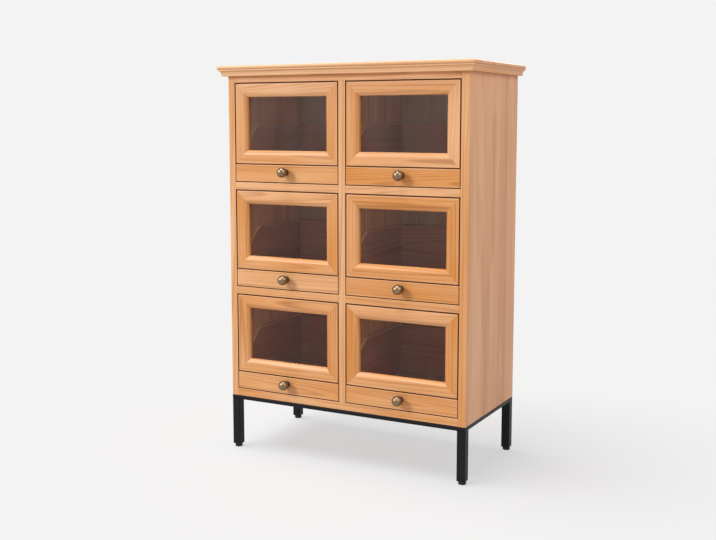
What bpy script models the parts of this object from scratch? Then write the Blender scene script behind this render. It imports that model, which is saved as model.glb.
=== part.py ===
"""An apothecary chest: a pine case on a steel base, whose drawers lift their own glazed flaps.

Sizes are in metres. X runs across the front, Z up from the floor, and Y back from the face of the
front frame, which is where the case's own coordinates start. Each bay holds a low drawer front with
one knob and, above it, a flap that turns on a rod along its upper edge. As the drawer is pulled, the
curved front of its sides bears on the back of the flap and lifts it at a steady rate.
"""
import math

import bmesh
import bpy
from mathutils import Matrix, Vector

# Bays, counted from the floor and seen from the front
ROW_NAMES = ("bottom", "middle", "top")
COLUMN_SIDES = {"left": -1, "right": 1}
OPENING_WIDTH = 0.345
OPENING_HEIGHT = 0.288

# Case and front frame
CASE_DEPTH = 0.372
STILE_WIDTH = 0.022
MULLION_WIDTH = 0.022
RAIL_HEIGHT = 0.022
BOTTOM_RAIL_HEIGHT = 0.022
TOP_RAIL_HEIGHT = 0.0375
FRAME_THICKNESS = 0.020
TENON_LENGTH = 0.010
TENON_THICKNESS = 0.008
TENON_SHOULDER = 0.004
HOUSING_DEPTH = 0.006
BACK_THICKNESS = 0.006
BACK_REBATE = 0.010

# Top board and cornice moulding
TOP_THICKNESS = 0.0105
TOP_OVERHANG = 0.025
TOP_NOSE_RADIUS = 0.004
CORNICE_HEIGHT = 0.0185
CORNICE_PROJECTION = 0.022
CORNICE_FOOT = 0.014
CORNICE_FOOT_FILLET = 0.003
CORNICE_TOP_FILLET = 0.0035

# Steel base
TUBE_WIDTH = 0.025
TUBE_WALL = 0.0015
TUBE_EDGE = 0.001
BASE_RAIL_HEIGHT = 0.012
LEG_HEIGHT = 0.152
FOOT_HEIGHT = 0.010
FOOT_DIAMETER = 0.022
FOOT_EDGE = 0.002
FOOT_PLUG_LENGTH = 0.018

# Drawer front and box
FRONT_HEIGHT = 0.050
FRONT_THICKNESS = 0.020
FRONT_EDGE = 0.0012
FRONT_SIDE_GAP = 0.0015
FRONT_FLOOR_GAP = 0.002
FRONT_FLAP_GAP = 0.002
DRAWER_SIDE_HEIGHT = 0.170
DRAWER_SIDE_THICKNESS = 0.009
DRAWER_BACK_THICKNESS = 0.009
DRAWER_BOTTOM_THICKNESS = 0.006
DRAWER_SIDE_CLEARANCE = 0.001
DRAWER_BACK_CLEARANCE = 0.012

# Centre guide under each drawer, a T-shaped strip with a stop at its front end
GUIDE_STEM_WIDTH = 0.010
GUIDE_STEM_HEIGHT = 0.004
GUIDE_HEAD_WIDTH = 0.024
GUIDE_HEAD_HEIGHT = 0.004
GUIDE_STOP_WIDTH = 0.036
GUIDE_STOP_LENGTH = 0.012
GUIDE_CLEARANCE = 0.0008
GUIDE_TOP_CLEARANCE = 0.003

# Flap, its glass and the rod that it turns on
FLAP_GAP = 0.0025
FLAP_MEMBER = 0.039
FLAP_THICKNESS = 0.020
FLAP_EDGE_RADIUS = 0.0025
FLAP_BEVEL_WIDTH = 0.010
FLAP_BEVEL_DEPTH = 0.006
GLASS_SETBACK = 0.013
GLASS_THICKNESS = 0.004
GLASS_LAP = 0.008
GLASS_CLEARANCE = 0.0005
PIVOT_DROP = 0.009
PIVOT_SETBACK = 0.007
PIVOT_RADIUS = 0.003
PIVOT_ENTRY = 0.007
PIVOT_END_CLEARANCE = 0.001

# Drawer travel, the flap's turn over that travel, and the curve that links them
DRAWER_TRAVEL = 0.250
FLAP_TURN = math.radians(60)
CAM_CLEARANCE = 0.001
CAM_STEPS = 14
SHOULDER_DROP = 0.008
SHOULDER_RUN = 0.018
SHOULDER_STEPS = 5

# Knob
KNOB_PROJECTION = 0.036
KNOB_BALL_DIAMETER = 0.029
KNOB_NECK_DIAMETER = 0.011
KNOB_ROSETTE_DIAMETER = 0.021
KNOB_ROSETTE_THICKNESS = 0.003
KNOB_STUD_DIAMETER = 0.005
KNOB_STUD_LENGTH = 0.015
KNOB_RISE = 0.005

# Working values of the modelling
JOINT_GAP = 0.0003
OVERSHOOT = 0.002
MERGE_DISTANCE = 0.00001
ROUND_STEPS = 20
ARC_STEPS = 5

# Sizes that follow from those above
CASE_WIDTH = 2 * OPENING_WIDTH + MULLION_WIDTH + 2 * STILE_WIDTH
CASE_BOTTOM = FOOT_HEIGHT + LEG_HEIGHT
INNER_X = CASE_WIDTH / 2 - STILE_WIDTH
ROW_PITCH = OPENING_HEIGHT + RAIL_HEIGHT
OPENING_FLOORS = [CASE_BOTTOM + BOTTOM_RAIL_HEIGHT + row * ROW_PITCH for row in range(len(ROW_NAMES))]
TOP_RAIL_BASE = OPENING_FLOORS[-1] + OPENING_HEIGHT
FRAME_TOP = TOP_RAIL_BASE + TOP_RAIL_HEIGHT
BAY_CENTRE = (MULLION_WIDTH + OPENING_WIDTH) / 2
INSIDE_FRONT = FRAME_THICKNESS + JOINT_GAP
INSIDE_BACK = CASE_DEPTH - BACK_THICKNESS - JOINT_GAP
FLAP_WIDTH = OPENING_WIDTH - 2 * FLAP_GAP
FLAP_HEIGHT = OPENING_HEIGHT - FLAP_GAP - FRONT_FLAP_GAP - FRONT_HEIGHT - FRONT_FLOOR_GAP
PIVOT_HEIGHT = OPENING_HEIGHT - FLAP_GAP - PIVOT_DROP
LIFT_RATE = FLAP_TURN / DRAWER_TRAVEL
DRAWER_WIDTH = OPENING_WIDTH - 2 * DRAWER_SIDE_CLEARANCE
DRAWER_FRONT_END = FRONT_THICKNESS + JOINT_GAP
DRAWER_BACK_END = CASE_DEPTH - BACK_THICKNESS - DRAWER_BACK_CLEARANCE
GUIDE_HEIGHT = GUIDE_STEM_HEIGHT + GUIDE_HEAD_HEIGHT
DRAWER_BOTTOM_RAISE = GUIDE_HEIGHT + GUIDE_TOP_CLEARANCE
KNOB_HEIGHT = FRONT_FLOOR_GAP + FRONT_HEIGHT / 2 + KNOB_RISE
FRONT_REACH = max(KNOB_PROJECTION, TOP_OVERHANG)
FRONT_Y = (FRONT_REACH - CASE_DEPTH) / 2

# Finishes: linear colour, roughness, metallic, transmission
FINISHES = {
    "honey_pine": ((0.72, 0.37, 0.15), 0.45, 0.0, 0.0),
    "pale_drawer_wood": ((0.55, 0.33, 0.18), 0.6, 0.0, 0.0),
    "antique_brass": ((0.30, 0.20, 0.09), 0.35, 1.0, 0.0),
    "clear_glass": ((0.95, 0.97, 0.96), 0.03, 0.0, 1.0),
    "black_steel": ((0.018, 0.017, 0.020), 0.45, 0.2, 0.0),
    "pivot_steel": ((0.45, 0.45, 0.47), 0.35, 1.0, 0.0),
    "black_rubber": ((0.012, 0.012, 0.013), 0.7, 0.0, 0.0),
}


def clear_scene():
    """Remove every object that the scene starts with."""
    for obj in list(bpy.data.objects):
        bpy.data.objects.remove(obj, do_unlink=True)


def new_collection(name):
    """A new collection under the scene's own."""
    collection = bpy.data.collections.new(name)
    bpy.context.scene.collection.children.link(collection)
    return collection


def new_material(name, finish):
    """A Principled BSDF material from one entry of the finishes."""
    colour, roughness, metallic, transmission = finish
    material = bpy.data.materials.new(name)
    material.use_nodes = True
    shader = material.node_tree.nodes["Principled BSDF"]
    shader.inputs["Base Color"].default_value = (*colour, 1.0)
    shader.inputs["Roughness"].default_value = roughness
    shader.inputs["Metallic"].default_value = metallic
    shader.inputs["Transmission Weight"].default_value = transmission
    material.diffuse_color = (*colour, 1.0)
    return material


clear_scene()
PARTS = new_collection("apothecary_chest")
CUTTERS = new_collection("apothecary_chest_cutters")
MATERIALS = {name: new_material(name, finish) for name, finish in FINISHES.items()}


def new_empty(name, location, parent=None):
    """An empty that carries pieces, set on the line or point that they move about."""
    empty = bpy.data.objects.new(name, None)
    empty.empty_display_size = 0.05
    empty.location = location
    empty.parent = parent
    PARTS.objects.link(empty)
    return empty


def finish_object(name, bm, parent, location, material):
    """Put a bmesh into an object; with no material it is a hidden working shape."""
    bmesh.ops.recalc_face_normals(bm, faces=bm.faces)
    mesh = bpy.data.meshes.new(name)
    bm.to_mesh(mesh)
    bm.free()
    obj = bpy.data.objects.new(name, mesh)
    obj.location = location
    obj.parent = parent
    if material:
        mesh.materials.append(MATERIALS[material])
        PARTS.objects.link(obj)
    else:
        obj.display_type = "WIRE"
        obj.hide_render = True
        CUTTERS.objects.link(obj)
    return obj


def box(name, parent, low, high, material=None):
    """A box between two corners given in any order, with its origin at its middle."""
    near = Vector([min(pair) for pair in zip(low, high)])
    far = Vector([max(pair) for pair in zip(low, high)])
    bm = bmesh.new()
    bmesh.ops.create_cube(bm, size=1, matrix=Matrix.Diagonal((*(far - near), 1)))
    return finish_object(name, bm, parent, (near + far) / 2, material)


def cylinder(name, parent, centre, direction, radius, length, material=None):
    """A round bar about its middle, along a direction."""
    turn = Vector((0, 0, 1)).rotation_difference(Vector(direction)).to_matrix().to_4x4()
    bm = bmesh.new()
    bmesh.ops.create_cone(
        bm, cap_ends=True, segments=ROUND_STEPS, radius1=radius, radius2=radius, depth=length, matrix=turn)
    return finish_object(name, bm, parent, centre, material)


def prism(name, parent, outline, travel, material=None):
    """A flat outline, filled and then extruded along a vector."""
    bm = bmesh.new()
    corners = [bm.verts.new(point) for point in outline]
    edges = [bm.edges.new(pair) for pair in zip(corners, corners[1:] + corners[:1])]
    bmesh.ops.contextual_create(bm, geom=corners + edges)
    grown = bmesh.ops.extrude_face_region(bm, geom=list(bm.faces))
    moved = [item for item in grown["geom"] if isinstance(item, bmesh.types.BMVert)]
    bmesh.ops.translate(bm, vec=travel, verts=moved)
    return finish_object(name, bm, parent, (0, 0, 0), material)


def loft(name, parent, sections, closed, material):
    """Like sections bridged one to the next, back to the first in a closed ring or else capped."""
    bm = bmesh.new()
    rings = []
    for section in sections:
        corners = [bm.verts.new(point) for point in section]
        rings.append([bm.edges.new(pair) for pair in zip(corners, corners[1:] + corners[:1])])
    followers = rings[1:] + rings[:1] if closed else rings[1:]
    for ring, follower in zip(rings, followers):
        bmesh.ops.bridge_loops(bm, edges=ring + follower)
    if not closed:
        bmesh.ops.contextual_create(bm, geom=rings[0])
        bmesh.ops.contextual_create(bm, geom=rings[-1])
    return finish_object(name, bm, parent, (0, 0, 0), material)


def turned(name, parent, location, rotation, profile, material):
    """A profile of (radius, height) points, listed from the top down, turned about its own Z axis."""
    bm = bmesh.new()
    points = [bm.verts.new((radius, 0, height)) for radius, height in profile]
    for pair in zip(points, points[1:]):
        bm.edges.new(pair)
    obj = finish_object(name, bm, parent, location, material)
    obj.rotation_euler = rotation
    screw = obj.modifiers.new("Turning", "SCREW")
    screw.axis = "Z"
    screw.steps = ROUND_STEPS
    screw.render_steps = ROUND_STEPS
    screw.use_merge_vertices = True
    screw.merge_threshold = MERGE_DISTANCE
    screw.use_smooth_shade = True
    return obj


def combine(obj, tool, operation="DIFFERENCE"):
    """Cut a working shape out of a piece, or add it with UNION."""
    modifier = obj.modifiers.new(tool.name, "BOOLEAN")
    modifier.operation = operation
    modifier.solver = "EXACT"
    modifier.object = tool


def cut_box(obj, name, low, high):
    """Cut a box, in the coordinates of the piece's parent, out of a piece."""
    combine(obj, box(f"{obj.name}_{name}", obj.parent, low, high))


def add_box(obj, name, low, high):
    """Add a box, in the coordinates of the piece's parent, to a piece."""
    combine(obj, box(f"{obj.name}_{name}", obj.parent, low, high), "UNION")


def ease_edges(obj, width, segments=1):
    """Round the edges of a piece with a bevel."""
    bevel = obj.modifiers.new("Eased edges", "BEVEL")
    bevel.width = width
    bevel.segments = segments
    bevel.limit_method = "ANGLE"


def between(start, end, share):
    """The point at a share of the way from one point to another."""
    return tuple(a + (b - a) * share for a, b in zip(start, end))


def rail_specs():
    """Each rail of the front frame as (name, lower edge, height), from the floor up."""
    return [
        ("rail_bottom", CASE_BOTTOM, BOTTOM_RAIL_HEIGHT),
        ("rail_lower", OPENING_FLOORS[1] - RAIL_HEIGHT, RAIL_HEIGHT),
        ("rail_upper", OPENING_FLOORS[2] - RAIL_HEIGHT, RAIL_HEIGHT),
        ("rail_top", TOP_RAIL_BASE, TOP_RAIL_HEIGHT),
    ]


def tenon_depths(clearance=0.0):
    """Front and back of a tenon, in the middle of the frame's thickness, or of its mortise."""
    half = TENON_THICKNESS / 2 + clearance
    return FRAME_THICKNESS / 2 - half, FRAME_THICKNESS / 2 + half


def bore_pivots(obj, edge_x, side):
    """Blind bores for the flap rods, from an upright's edge into the upright."""
    depth = PIVOT_ENTRY + PIVOT_END_CLEARANCE
    for row, floor in zip(ROW_NAMES, OPENING_FLOORS):
        centre = (edge_x + side * (depth - OVERSHOOT) / 2, PIVOT_SETBACK, floor + PIVOT_HEIGHT)
        tool = cylinder(f"{obj.name}_bore_{row}_{side}", obj.parent, centre, (1, 0, 0),
                        PIVOT_RADIUS + JOINT_GAP, depth + OVERSHOOT)
        combine(obj, tool)


def make_stile(chest, name, side):
    """An outer upright of the front frame, with a mortise for each rail and bores for the flap rods."""
    stile = box(name, chest, (side * INNER_X, 0, CASE_BOTTOM),
                (side * CASE_WIDTH / 2, FRAME_THICKNESS, FRAME_TOP), "honey_pine")
    front, back = tenon_depths(JOINT_GAP)
    for rail, base, height in rail_specs():
        cut_box(stile, f"mortise_{rail}",
                (side * (INNER_X - OVERSHOOT), front, base + TENON_SHOULDER - JOINT_GAP),
                (side * (INNER_X + TENON_LENGTH + JOINT_GAP), back, base + height - TENON_SHOULDER + JOINT_GAP))
    bore_pivots(stile, side * INNER_X, side)


def make_rail(chest, name, base, height):
    """A cross member of the front frame with a stub tenon on each end.

    The middle rails are halved at the front where the mullion crosses them. The bottom and top rails
    take the mullion's tenons.
    """
    end = INNER_X - JOINT_GAP
    rail = box(name, chest, (-end, 0, base), (end, FRAME_THICKNESS, base + height), "honey_pine")
    front, back = tenon_depths()
    for side in COLUMN_SIDES.values():
        add_box(rail, f"tenon_{side}",
                (side * (end - OVERSHOOT), front, base + TENON_SHOULDER),
                (side * (INNER_X + TENON_LENGTH), back, base + height - TENON_SHOULDER))
    half = MULLION_WIDTH / 2
    front, back = tenon_depths(JOINT_GAP)
    mortise = half - TENON_SHOULDER + JOINT_GAP
    if name == "rail_bottom":
        cut_box(rail, "mortise", (-mortise, front, base + height - TENON_LENGTH - JOINT_GAP),
                (mortise, back, base + height + OVERSHOOT))
    elif name == "rail_top":
        cut_box(rail, "mortise", (-mortise, front, base - OVERSHOOT),
                (mortise, back, base + TENON_LENGTH + JOINT_GAP))
    else:
        cut_box(rail, "halving", (-half - JOINT_GAP, -OVERSHOOT, base - OVERSHOOT),
                (half + JOINT_GAP, (FRAME_THICKNESS + JOINT_GAP) / 2, base + height + OVERSHOOT))


def make_mullion(chest):
    """The middle upright, halved at the back over the middle rails and tenoned into the outer two."""
    half = MULLION_WIDTH / 2
    low, high = OPENING_FLOORS[0], TOP_RAIL_BASE
    mullion = box("mullion", chest, (-half, 0, low + JOINT_GAP),
                  (half, FRAME_THICKNESS, high - JOINT_GAP), "honey_pine")
    front, back = tenon_depths()
    cheek = half - TENON_SHOULDER
    add_box(mullion, "foot_tenon", (-cheek, front, low - TENON_LENGTH), (cheek, back, low + OVERSHOOT))
    add_box(mullion, "head_tenon", (-cheek, front, high - OVERSHOOT), (cheek, back, high + TENON_LENGTH))
    for rail, base, height in rail_specs()[1:-1]:
        cut_box(mullion, f"halving_{rail}",
                (-half - OVERSHOOT, (FRAME_THICKNESS - JOINT_GAP) / 2, base - JOINT_GAP),
                (half + OVERSHOOT, FRAME_THICKNESS + OVERSHOOT, base + height + JOINT_GAP))
    for side in COLUMN_SIDES.values():
        bore_pivots(mullion, side * half, -side)


def make_side(chest, name, side):
    """A side of the case, housed for the shelves and bottom and rebated for the back."""
    panel = box(name, chest, (side * INNER_X, INSIDE_FRONT, CASE_BOTTOM),
                (side * CASE_WIDTH / 2, CASE_DEPTH, FRAME_TOP), "honey_pine")
    for rail, base, height in rail_specs()[:-1]:
        cut_box(panel, f"housing_{rail}",
                (side * (INNER_X - OVERSHOOT), INSIDE_FRONT - OVERSHOOT, base - JOINT_GAP),
                (side * (INNER_X + HOUSING_DEPTH + JOINT_GAP), CASE_DEPTH + OVERSHOOT, base + height + JOINT_GAP))
    cut_box(panel, "back_rebate",
            (side * (INNER_X - OVERSHOOT), INSIDE_BACK, CASE_BOTTOM - OVERSHOOT),
            (side * (INNER_X + BACK_REBATE + JOINT_GAP), CASE_DEPTH + OVERSHOOT, FRAME_TOP + OVERSHOOT))


def guide_outline(centre_x, floor, clearance):
    """The T of a drawer guide in the plane of its end, grown all round by a clearance."""
    stem = GUIDE_STEM_WIDTH / 2 + clearance
    head = GUIDE_HEAD_WIDTH / 2 + clearance
    neck = floor + GUIDE_STEM_HEIGHT - clearance
    top = floor + GUIDE_HEIGHT + clearance
    root = floor - OVERSHOOT
    return [(centre_x - stem, root), (centre_x + stem, root), (centre_x + stem, neck), (centre_x + head, neck),
            (centre_x + head, top), (centre_x - head, top), (centre_x - head, neck), (centre_x - stem, neck)]


def add_guides(board, floor):
    """Fix a T-shaped guide and its stop under each drawer of a row."""
    stop_back = DRAWER_BACK_END - DRAWER_BACK_THICKNESS - DRAWER_TRAVEL - GUIDE_CLEARANCE
    stop_front = stop_back - GUIDE_STOP_LENGTH
    for column, side in COLUMN_SIDES.items():
        x = side * BAY_CENTRE
        outline = [(px, stop_front, pz) for px, pz in guide_outline(x, floor, 0)]
        strip = prism(f"{board.name}_guide_{column}", board.parent, outline,
                      (0, INSIDE_BACK - OVERSHOOT - stop_front, 0))
        combine(board, strip, "UNION")
        add_box(board, f"stop_{column}", (x - GUIDE_STOP_WIDTH / 2, stop_front, floor - OVERSHOOT),
                (x + GUIDE_STOP_WIDTH / 2, stop_back, floor + GUIDE_HEIGHT))


def make_shelf(chest, name, base, height, crossed):
    """A board behind a rail, let into both sides, with a drawer guide for each bay above it.

    A crossed shelf is slotted from the back to its middle, to slide over the partition.
    """
    reach = INNER_X + HOUSING_DEPTH
    shelf = box(name, chest, (-reach, INSIDE_FRONT, base), (reach, INSIDE_BACK, base + height), "honey_pine")
    add_guides(shelf, base + height)
    if crossed:
        half = MULLION_WIDTH / 2 + JOINT_GAP
        middle = (INSIDE_FRONT + INSIDE_BACK - JOINT_GAP) / 2
        cut_box(shelf, "slot", (-half, middle, base - OVERSHOOT),
                (half, INSIDE_BACK + OVERSHOOT, base + height + OVERSHOOT))


def make_partition(chest):
    """The upright between the bays, slotted from the front to slide over the shelves."""
    half = MULLION_WIDTH / 2
    partition = box("partition", chest, (-half, INSIDE_FRONT, OPENING_FLOORS[0] + JOINT_GAP),
                    (half, INSIDE_BACK, FRAME_TOP), "honey_pine")
    middle = (INSIDE_FRONT + INSIDE_BACK + JOINT_GAP) / 2
    for rail, base, height in rail_specs()[1:-1]:
        cut_box(partition, f"slot_{rail}",
                (-half - OVERSHOOT, INSIDE_FRONT - OVERSHOOT, base - JOINT_GAP),
                (half + OVERSHOOT, middle, base + height + JOINT_GAP))


def make_back(chest):
    """The thin back panel, set into the rebates of the sides."""
    reach = INNER_X + BACK_REBATE
    box("back_panel", chest, (-reach, CASE_DEPTH - BACK_THICKNESS, CASE_BOTTOM),
        (reach, CASE_DEPTH, FRAME_TOP), "honey_pine")


def make_top(chest):
    """The top board, with a rounded nose over the cornice."""
    reach = CASE_WIDTH / 2 + TOP_OVERHANG
    top = box("top_board", chest, (-reach, -TOP_OVERHANG, FRAME_TOP + JOINT_GAP),
              (reach, CASE_DEPTH, FRAME_TOP + TOP_THICKNESS), "honey_pine")
    ease_edges(top, TOP_NOSE_RADIUS, 3)


def cornice_profile():
    """The moulding as (out from the case, height): a flat foot, a hollow and a square upper edge."""
    base = FRAME_TOP - CORNICE_HEIGHT
    foot = (CORNICE_FOOT, base + CORNICE_FOOT_FILLET)
    lip = (CORNICE_PROJECTION, FRAME_TOP - CORNICE_TOP_FILLET)
    hollow = []
    for step in range(ARC_STEPS + 1):
        angle = step / ARC_STEPS * math.pi / 2
        hollow.append((lip[0] + (foot[0] - lip[0]) * math.cos(angle),
                       foot[1] + (lip[1] - foot[1]) * math.sin(angle)))
    return [(JOINT_GAP, base), (CORNICE_FOOT, base), *hollow,
            (CORNICE_PROJECTION, FRAME_TOP), (JOINT_GAP, FRAME_TOP)]


def make_cornice(chest):
    """The moulding under the top board in three lengths, mitred at the front corners."""
    profile = cornice_profile()
    half = CASE_WIDTH / 2

    def mitre(side, shift_x, shift_y):
        """The section on a front corner's mitre, drawn back a little from the mitre itself."""
        return [(side * (half + out - shift_x), shift_y - out, height) for out, height in profile]

    loft("cornice_front", chest, [mitre(-1, JOINT_GAP, 0), mitre(1, JOINT_GAP, 0)], False, "honey_pine")
    for column, side in COLUMN_SIDES.items():
        end = [(side * (half + out), CASE_DEPTH, height) for out, height in profile]
        loft(f"cornice_{column}", chest, [mitre(side, 0, JOINT_GAP), end], False, "honey_pine")


def make_base(chest):
    """The welded base: a ring of flat tube on four square legs, which are hollow from below."""
    half = CASE_WIDTH / 2
    top = CASE_BOTTOM - JOINT_GAP
    underside = top - BASE_RAIL_HEIGHT
    inner_x = half - TUBE_WIDTH
    inner_front, inner_back = TUBE_WIDTH, CASE_DEPTH - TUBE_WIDTH
    base = box("base_frame", chest, (-half, 0, FOOT_HEIGHT), (half, CASE_DEPTH, top), "black_steel")
    cut_box(base, "side_way", (-half - OVERSHOOT, inner_front, FOOT_HEIGHT - OVERSHOOT),
            (half + OVERSHOOT, inner_back, underside))
    cut_box(base, "front_way", (-inner_x, -OVERSHOOT, FOOT_HEIGHT - OVERSHOOT),
            (inner_x, CASE_DEPTH + OVERSHOOT, underside))
    cut_box(base, "ring_hole", (-inner_x, inner_front, underside - OVERSHOOT),
            (inner_x, inner_back, top + OVERSHOOT))
    ease_edges(base, TUBE_EDGE)
    bore = TUBE_WIDTH / 2 - TUBE_WALL
    for name, (x, y) in leg_centres().items():
        cut_box(base, f"tube_{name}", (x - bore, y - bore, FOOT_HEIGHT - OVERSHOOT), (x + bore, y + bore, underside))


def leg_centres():
    """The middle of each leg in plan, by its corner's name."""
    x = (CASE_WIDTH - TUBE_WIDTH) / 2
    depths = {"front": TUBE_WIDTH / 2, "back": CASE_DEPTH - TUBE_WIDTH / 2}
    return {f"{end}_{column}": (side * x, y) for end, y in depths.items() for column, side in COLUMN_SIDES.items()}


def make_feet(chest):
    """A round glide under each leg, with a square plug that is pushed into the tube."""
    radius = FOOT_DIAMETER / 2
    top = FOOT_HEIGHT - JOINT_GAP
    profile = [(0, top), (radius, top), (radius, FOOT_EDGE), (radius - FOOT_EDGE, 0), (0, 0)]
    plug = TUBE_WIDTH / 2 - TUBE_WALL - JOINT_GAP
    for name, (x, y) in leg_centres().items():
        foot = turned(f"foot_{name}", chest, (x, y, 0), (0, 0, 0), profile, "black_rubber")
        add_box(foot, "plug", (x - plug, y - plug, top - OVERSHOOT),
                (x + plug, y + plug, FOOT_HEIGHT + FOOT_PLUG_LENGTH))


def make_drawer_front(unit, slide):
    """The low front of a drawer, with a blind hole for the knob's stud."""
    half = OPENING_WIDTH / 2 - FRONT_SIDE_GAP
    front = box(f"drawer_front_{unit}", slide, (-half, 0, FRONT_FLOOR_GAP),
                (half, FRONT_THICKNESS, FRONT_FLOOR_GAP + FRONT_HEIGHT), "honey_pine")
    ease_edges(front, FRONT_EDGE)
    depth = KNOB_STUD_LENGTH + JOINT_GAP
    hole = cylinder(f"{front.name}_stud_hole", slide, (0, (depth - OVERSHOOT) / 2, KNOB_HEIGHT), (0, 1, 0),
                    KNOB_STUD_DIAMETER / 2 + JOINT_GAP, depth + OVERSHOOT)
    combine(front, hole)


def cam_point(angle):
    """Where the back of a flap lifted by an angle bears on a drawer side, as (depth, height) in the drawer.

    By then the drawer has come out by the angle over the lift rate. At a steady rate the flap's back
    sweeps the parallel of a cycloid across the drawer, and the bearing point lies cos(angle) over the
    rate below the pivot, along the flap. Where that is past the flap's lower edge, the edge itself
    bears, and its path in the drawer is a trochoid.
    """
    flap_reach = FLAP_HEIGHT - PIVOT_DROP + CAM_CLEARANCE
    along = min(math.cos(angle) / LIFT_RATE, flap_reach)
    behind = FLAP_THICKNESS - PIVOT_SETBACK + CAM_CLEARANCE
    depth = angle / LIFT_RATE + behind * math.cos(angle) - along * math.sin(angle)
    drop = along * math.cos(angle) + behind * math.sin(angle)
    return PIVOT_SETBACK + depth, PIVOT_HEIGHT - drop


def cam_angle_at(height):
    """The flap's angle when it bears on a drawer side at a given height, found by halving."""
    low, high = 0.0, math.pi / 2
    while high - low > MERGE_DISTANCE:
        middle = (low + high) / 2
        if cam_point(middle)[1] < height:
            low = middle
        else:
            high = middle
    return low


def drawer_side_outline():
    """The outline of a drawer's side as (depth, height): a lifting curve, a round shoulder and a flat top."""
    top = JOINT_GAP + DRAWER_SIDE_HEIGHT
    corner = (cam_point(cam_angle_at(top))[0], top)
    shoulder_angle = cam_angle_at(top - SHOULDER_DROP)
    curve = [cam_point(shoulder_angle * step / CAM_STEPS) for step in range(CAM_STEPS + 1)]
    curve = [(max(depth, DRAWER_FRONT_END + JOINT_GAP), height) for depth, height in curve]
    crown = (corner[0] + SHOULDER_RUN, top)
    for step in range(1, SHOULDER_STEPS + 1):
        share = step / SHOULDER_STEPS
        curve.append(between(between(curve[CAM_STEPS], corner, share), between(corner, crown, share), share))
    return [(DRAWER_FRONT_END, JOINT_GAP), (DRAWER_FRONT_END, curve[0][1]), *curve,
            (DRAWER_BACK_END, top), (DRAWER_BACK_END, JOINT_GAP)]


def make_drawer_box(unit, slide):
    """Sides, bottom and back of a drawer, hollowed from one block of the sides' outline.

    The bottom is raised, so the sides run on the shelf and the back straddles the centre guide.
    """
    half = DRAWER_WIDTH / 2
    outline = [(-half, depth, height) for depth, height in drawer_side_outline()]
    drawer = prism(f"drawer_box_{unit}", slide, outline, (DRAWER_WIDTH, 0, 0), "pale_drawer_wood")
    inner = half - DRAWER_SIDE_THICKNESS
    back = DRAWER_BACK_END - DRAWER_BACK_THICKNESS
    bottom = JOINT_GAP + DRAWER_BOTTOM_RAISE
    cut_box(drawer, "inside", (-inner, DRAWER_FRONT_END - OVERSHOOT, bottom + DRAWER_BOTTOM_THICKNESS),
            (inner, back, JOINT_GAP + DRAWER_SIDE_HEIGHT + OVERSHOOT))
    cut_box(drawer, "underside", (-inner, DRAWER_FRONT_END - OVERSHOOT, JOINT_GAP - OVERSHOOT), (inner, back, bottom))
    notch = [(x, back - OVERSHOOT, z) for x, z in guide_outline(0, 0, GUIDE_CLEARANCE)]
    combine(drawer, prism(f"{drawer.name}_guide_notch", slide, notch, (0, DRAWER_BACK_THICKNESS + 2 * OVERSHOOT, 0)))


def make_knob(unit, slide):
    """A turned ball knob on a waisted neck and a small rosette, with a stud into the drawer front."""
    ball = KNOB_BALL_DIAMETER / 2
    neck = KNOB_NECK_DIAMETER / 2
    rosette = KNOB_ROSETTE_DIAMETER / 2
    stud = KNOB_STUD_DIAMETER / 2
    ball_centre = KNOB_PROJECTION - ball
    sweep = math.pi - math.asin(neck / ball)
    ball_steps = 2 * ARC_STEPS
    arc = [sweep * step / ball_steps for step in range(ball_steps + 1)]
    profile = [(ball * math.sin(angle), ball_centre + ball * math.cos(angle)) for angle in arc]
    profile += [(neck, KNOB_ROSETTE_THICKNESS), (rosette - KNOB_ROSETTE_THICKNESS / 2, KNOB_ROSETTE_THICKNESS),
                (rosette, KNOB_ROSETTE_THICKNESS / 2), (rosette, JOINT_GAP), (stud, JOINT_GAP),
                (stud, -KNOB_STUD_LENGTH), (0, -KNOB_STUD_LENGTH)]
    turned(f"knob_{unit}", slide, (0, 0, KNOB_HEIGHT), (math.pi / 2, 0, 0), profile, "antique_brass")


def flap_profile():
    """A flap member's section as (in from its outer edge, back from its face)."""
    radius = FLAP_EDGE_RADIUS
    rounding = [(radius * (1 - math.cos(angle)), radius * (1 - math.sin(angle)))
                for angle in (0, math.pi / 6, math.pi / 3, math.pi / 2)]
    lap = FLAP_MEMBER - GLASS_LAP
    return [*rounding, (FLAP_MEMBER - FLAP_BEVEL_WIDTH, 0), (FLAP_MEMBER, FLAP_BEVEL_DEPTH),
            (FLAP_MEMBER, GLASS_SETBACK), (lap, GLASS_SETBACK), (lap, FLAP_THICKNESS), (0, FLAP_THICKNESS)]


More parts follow.
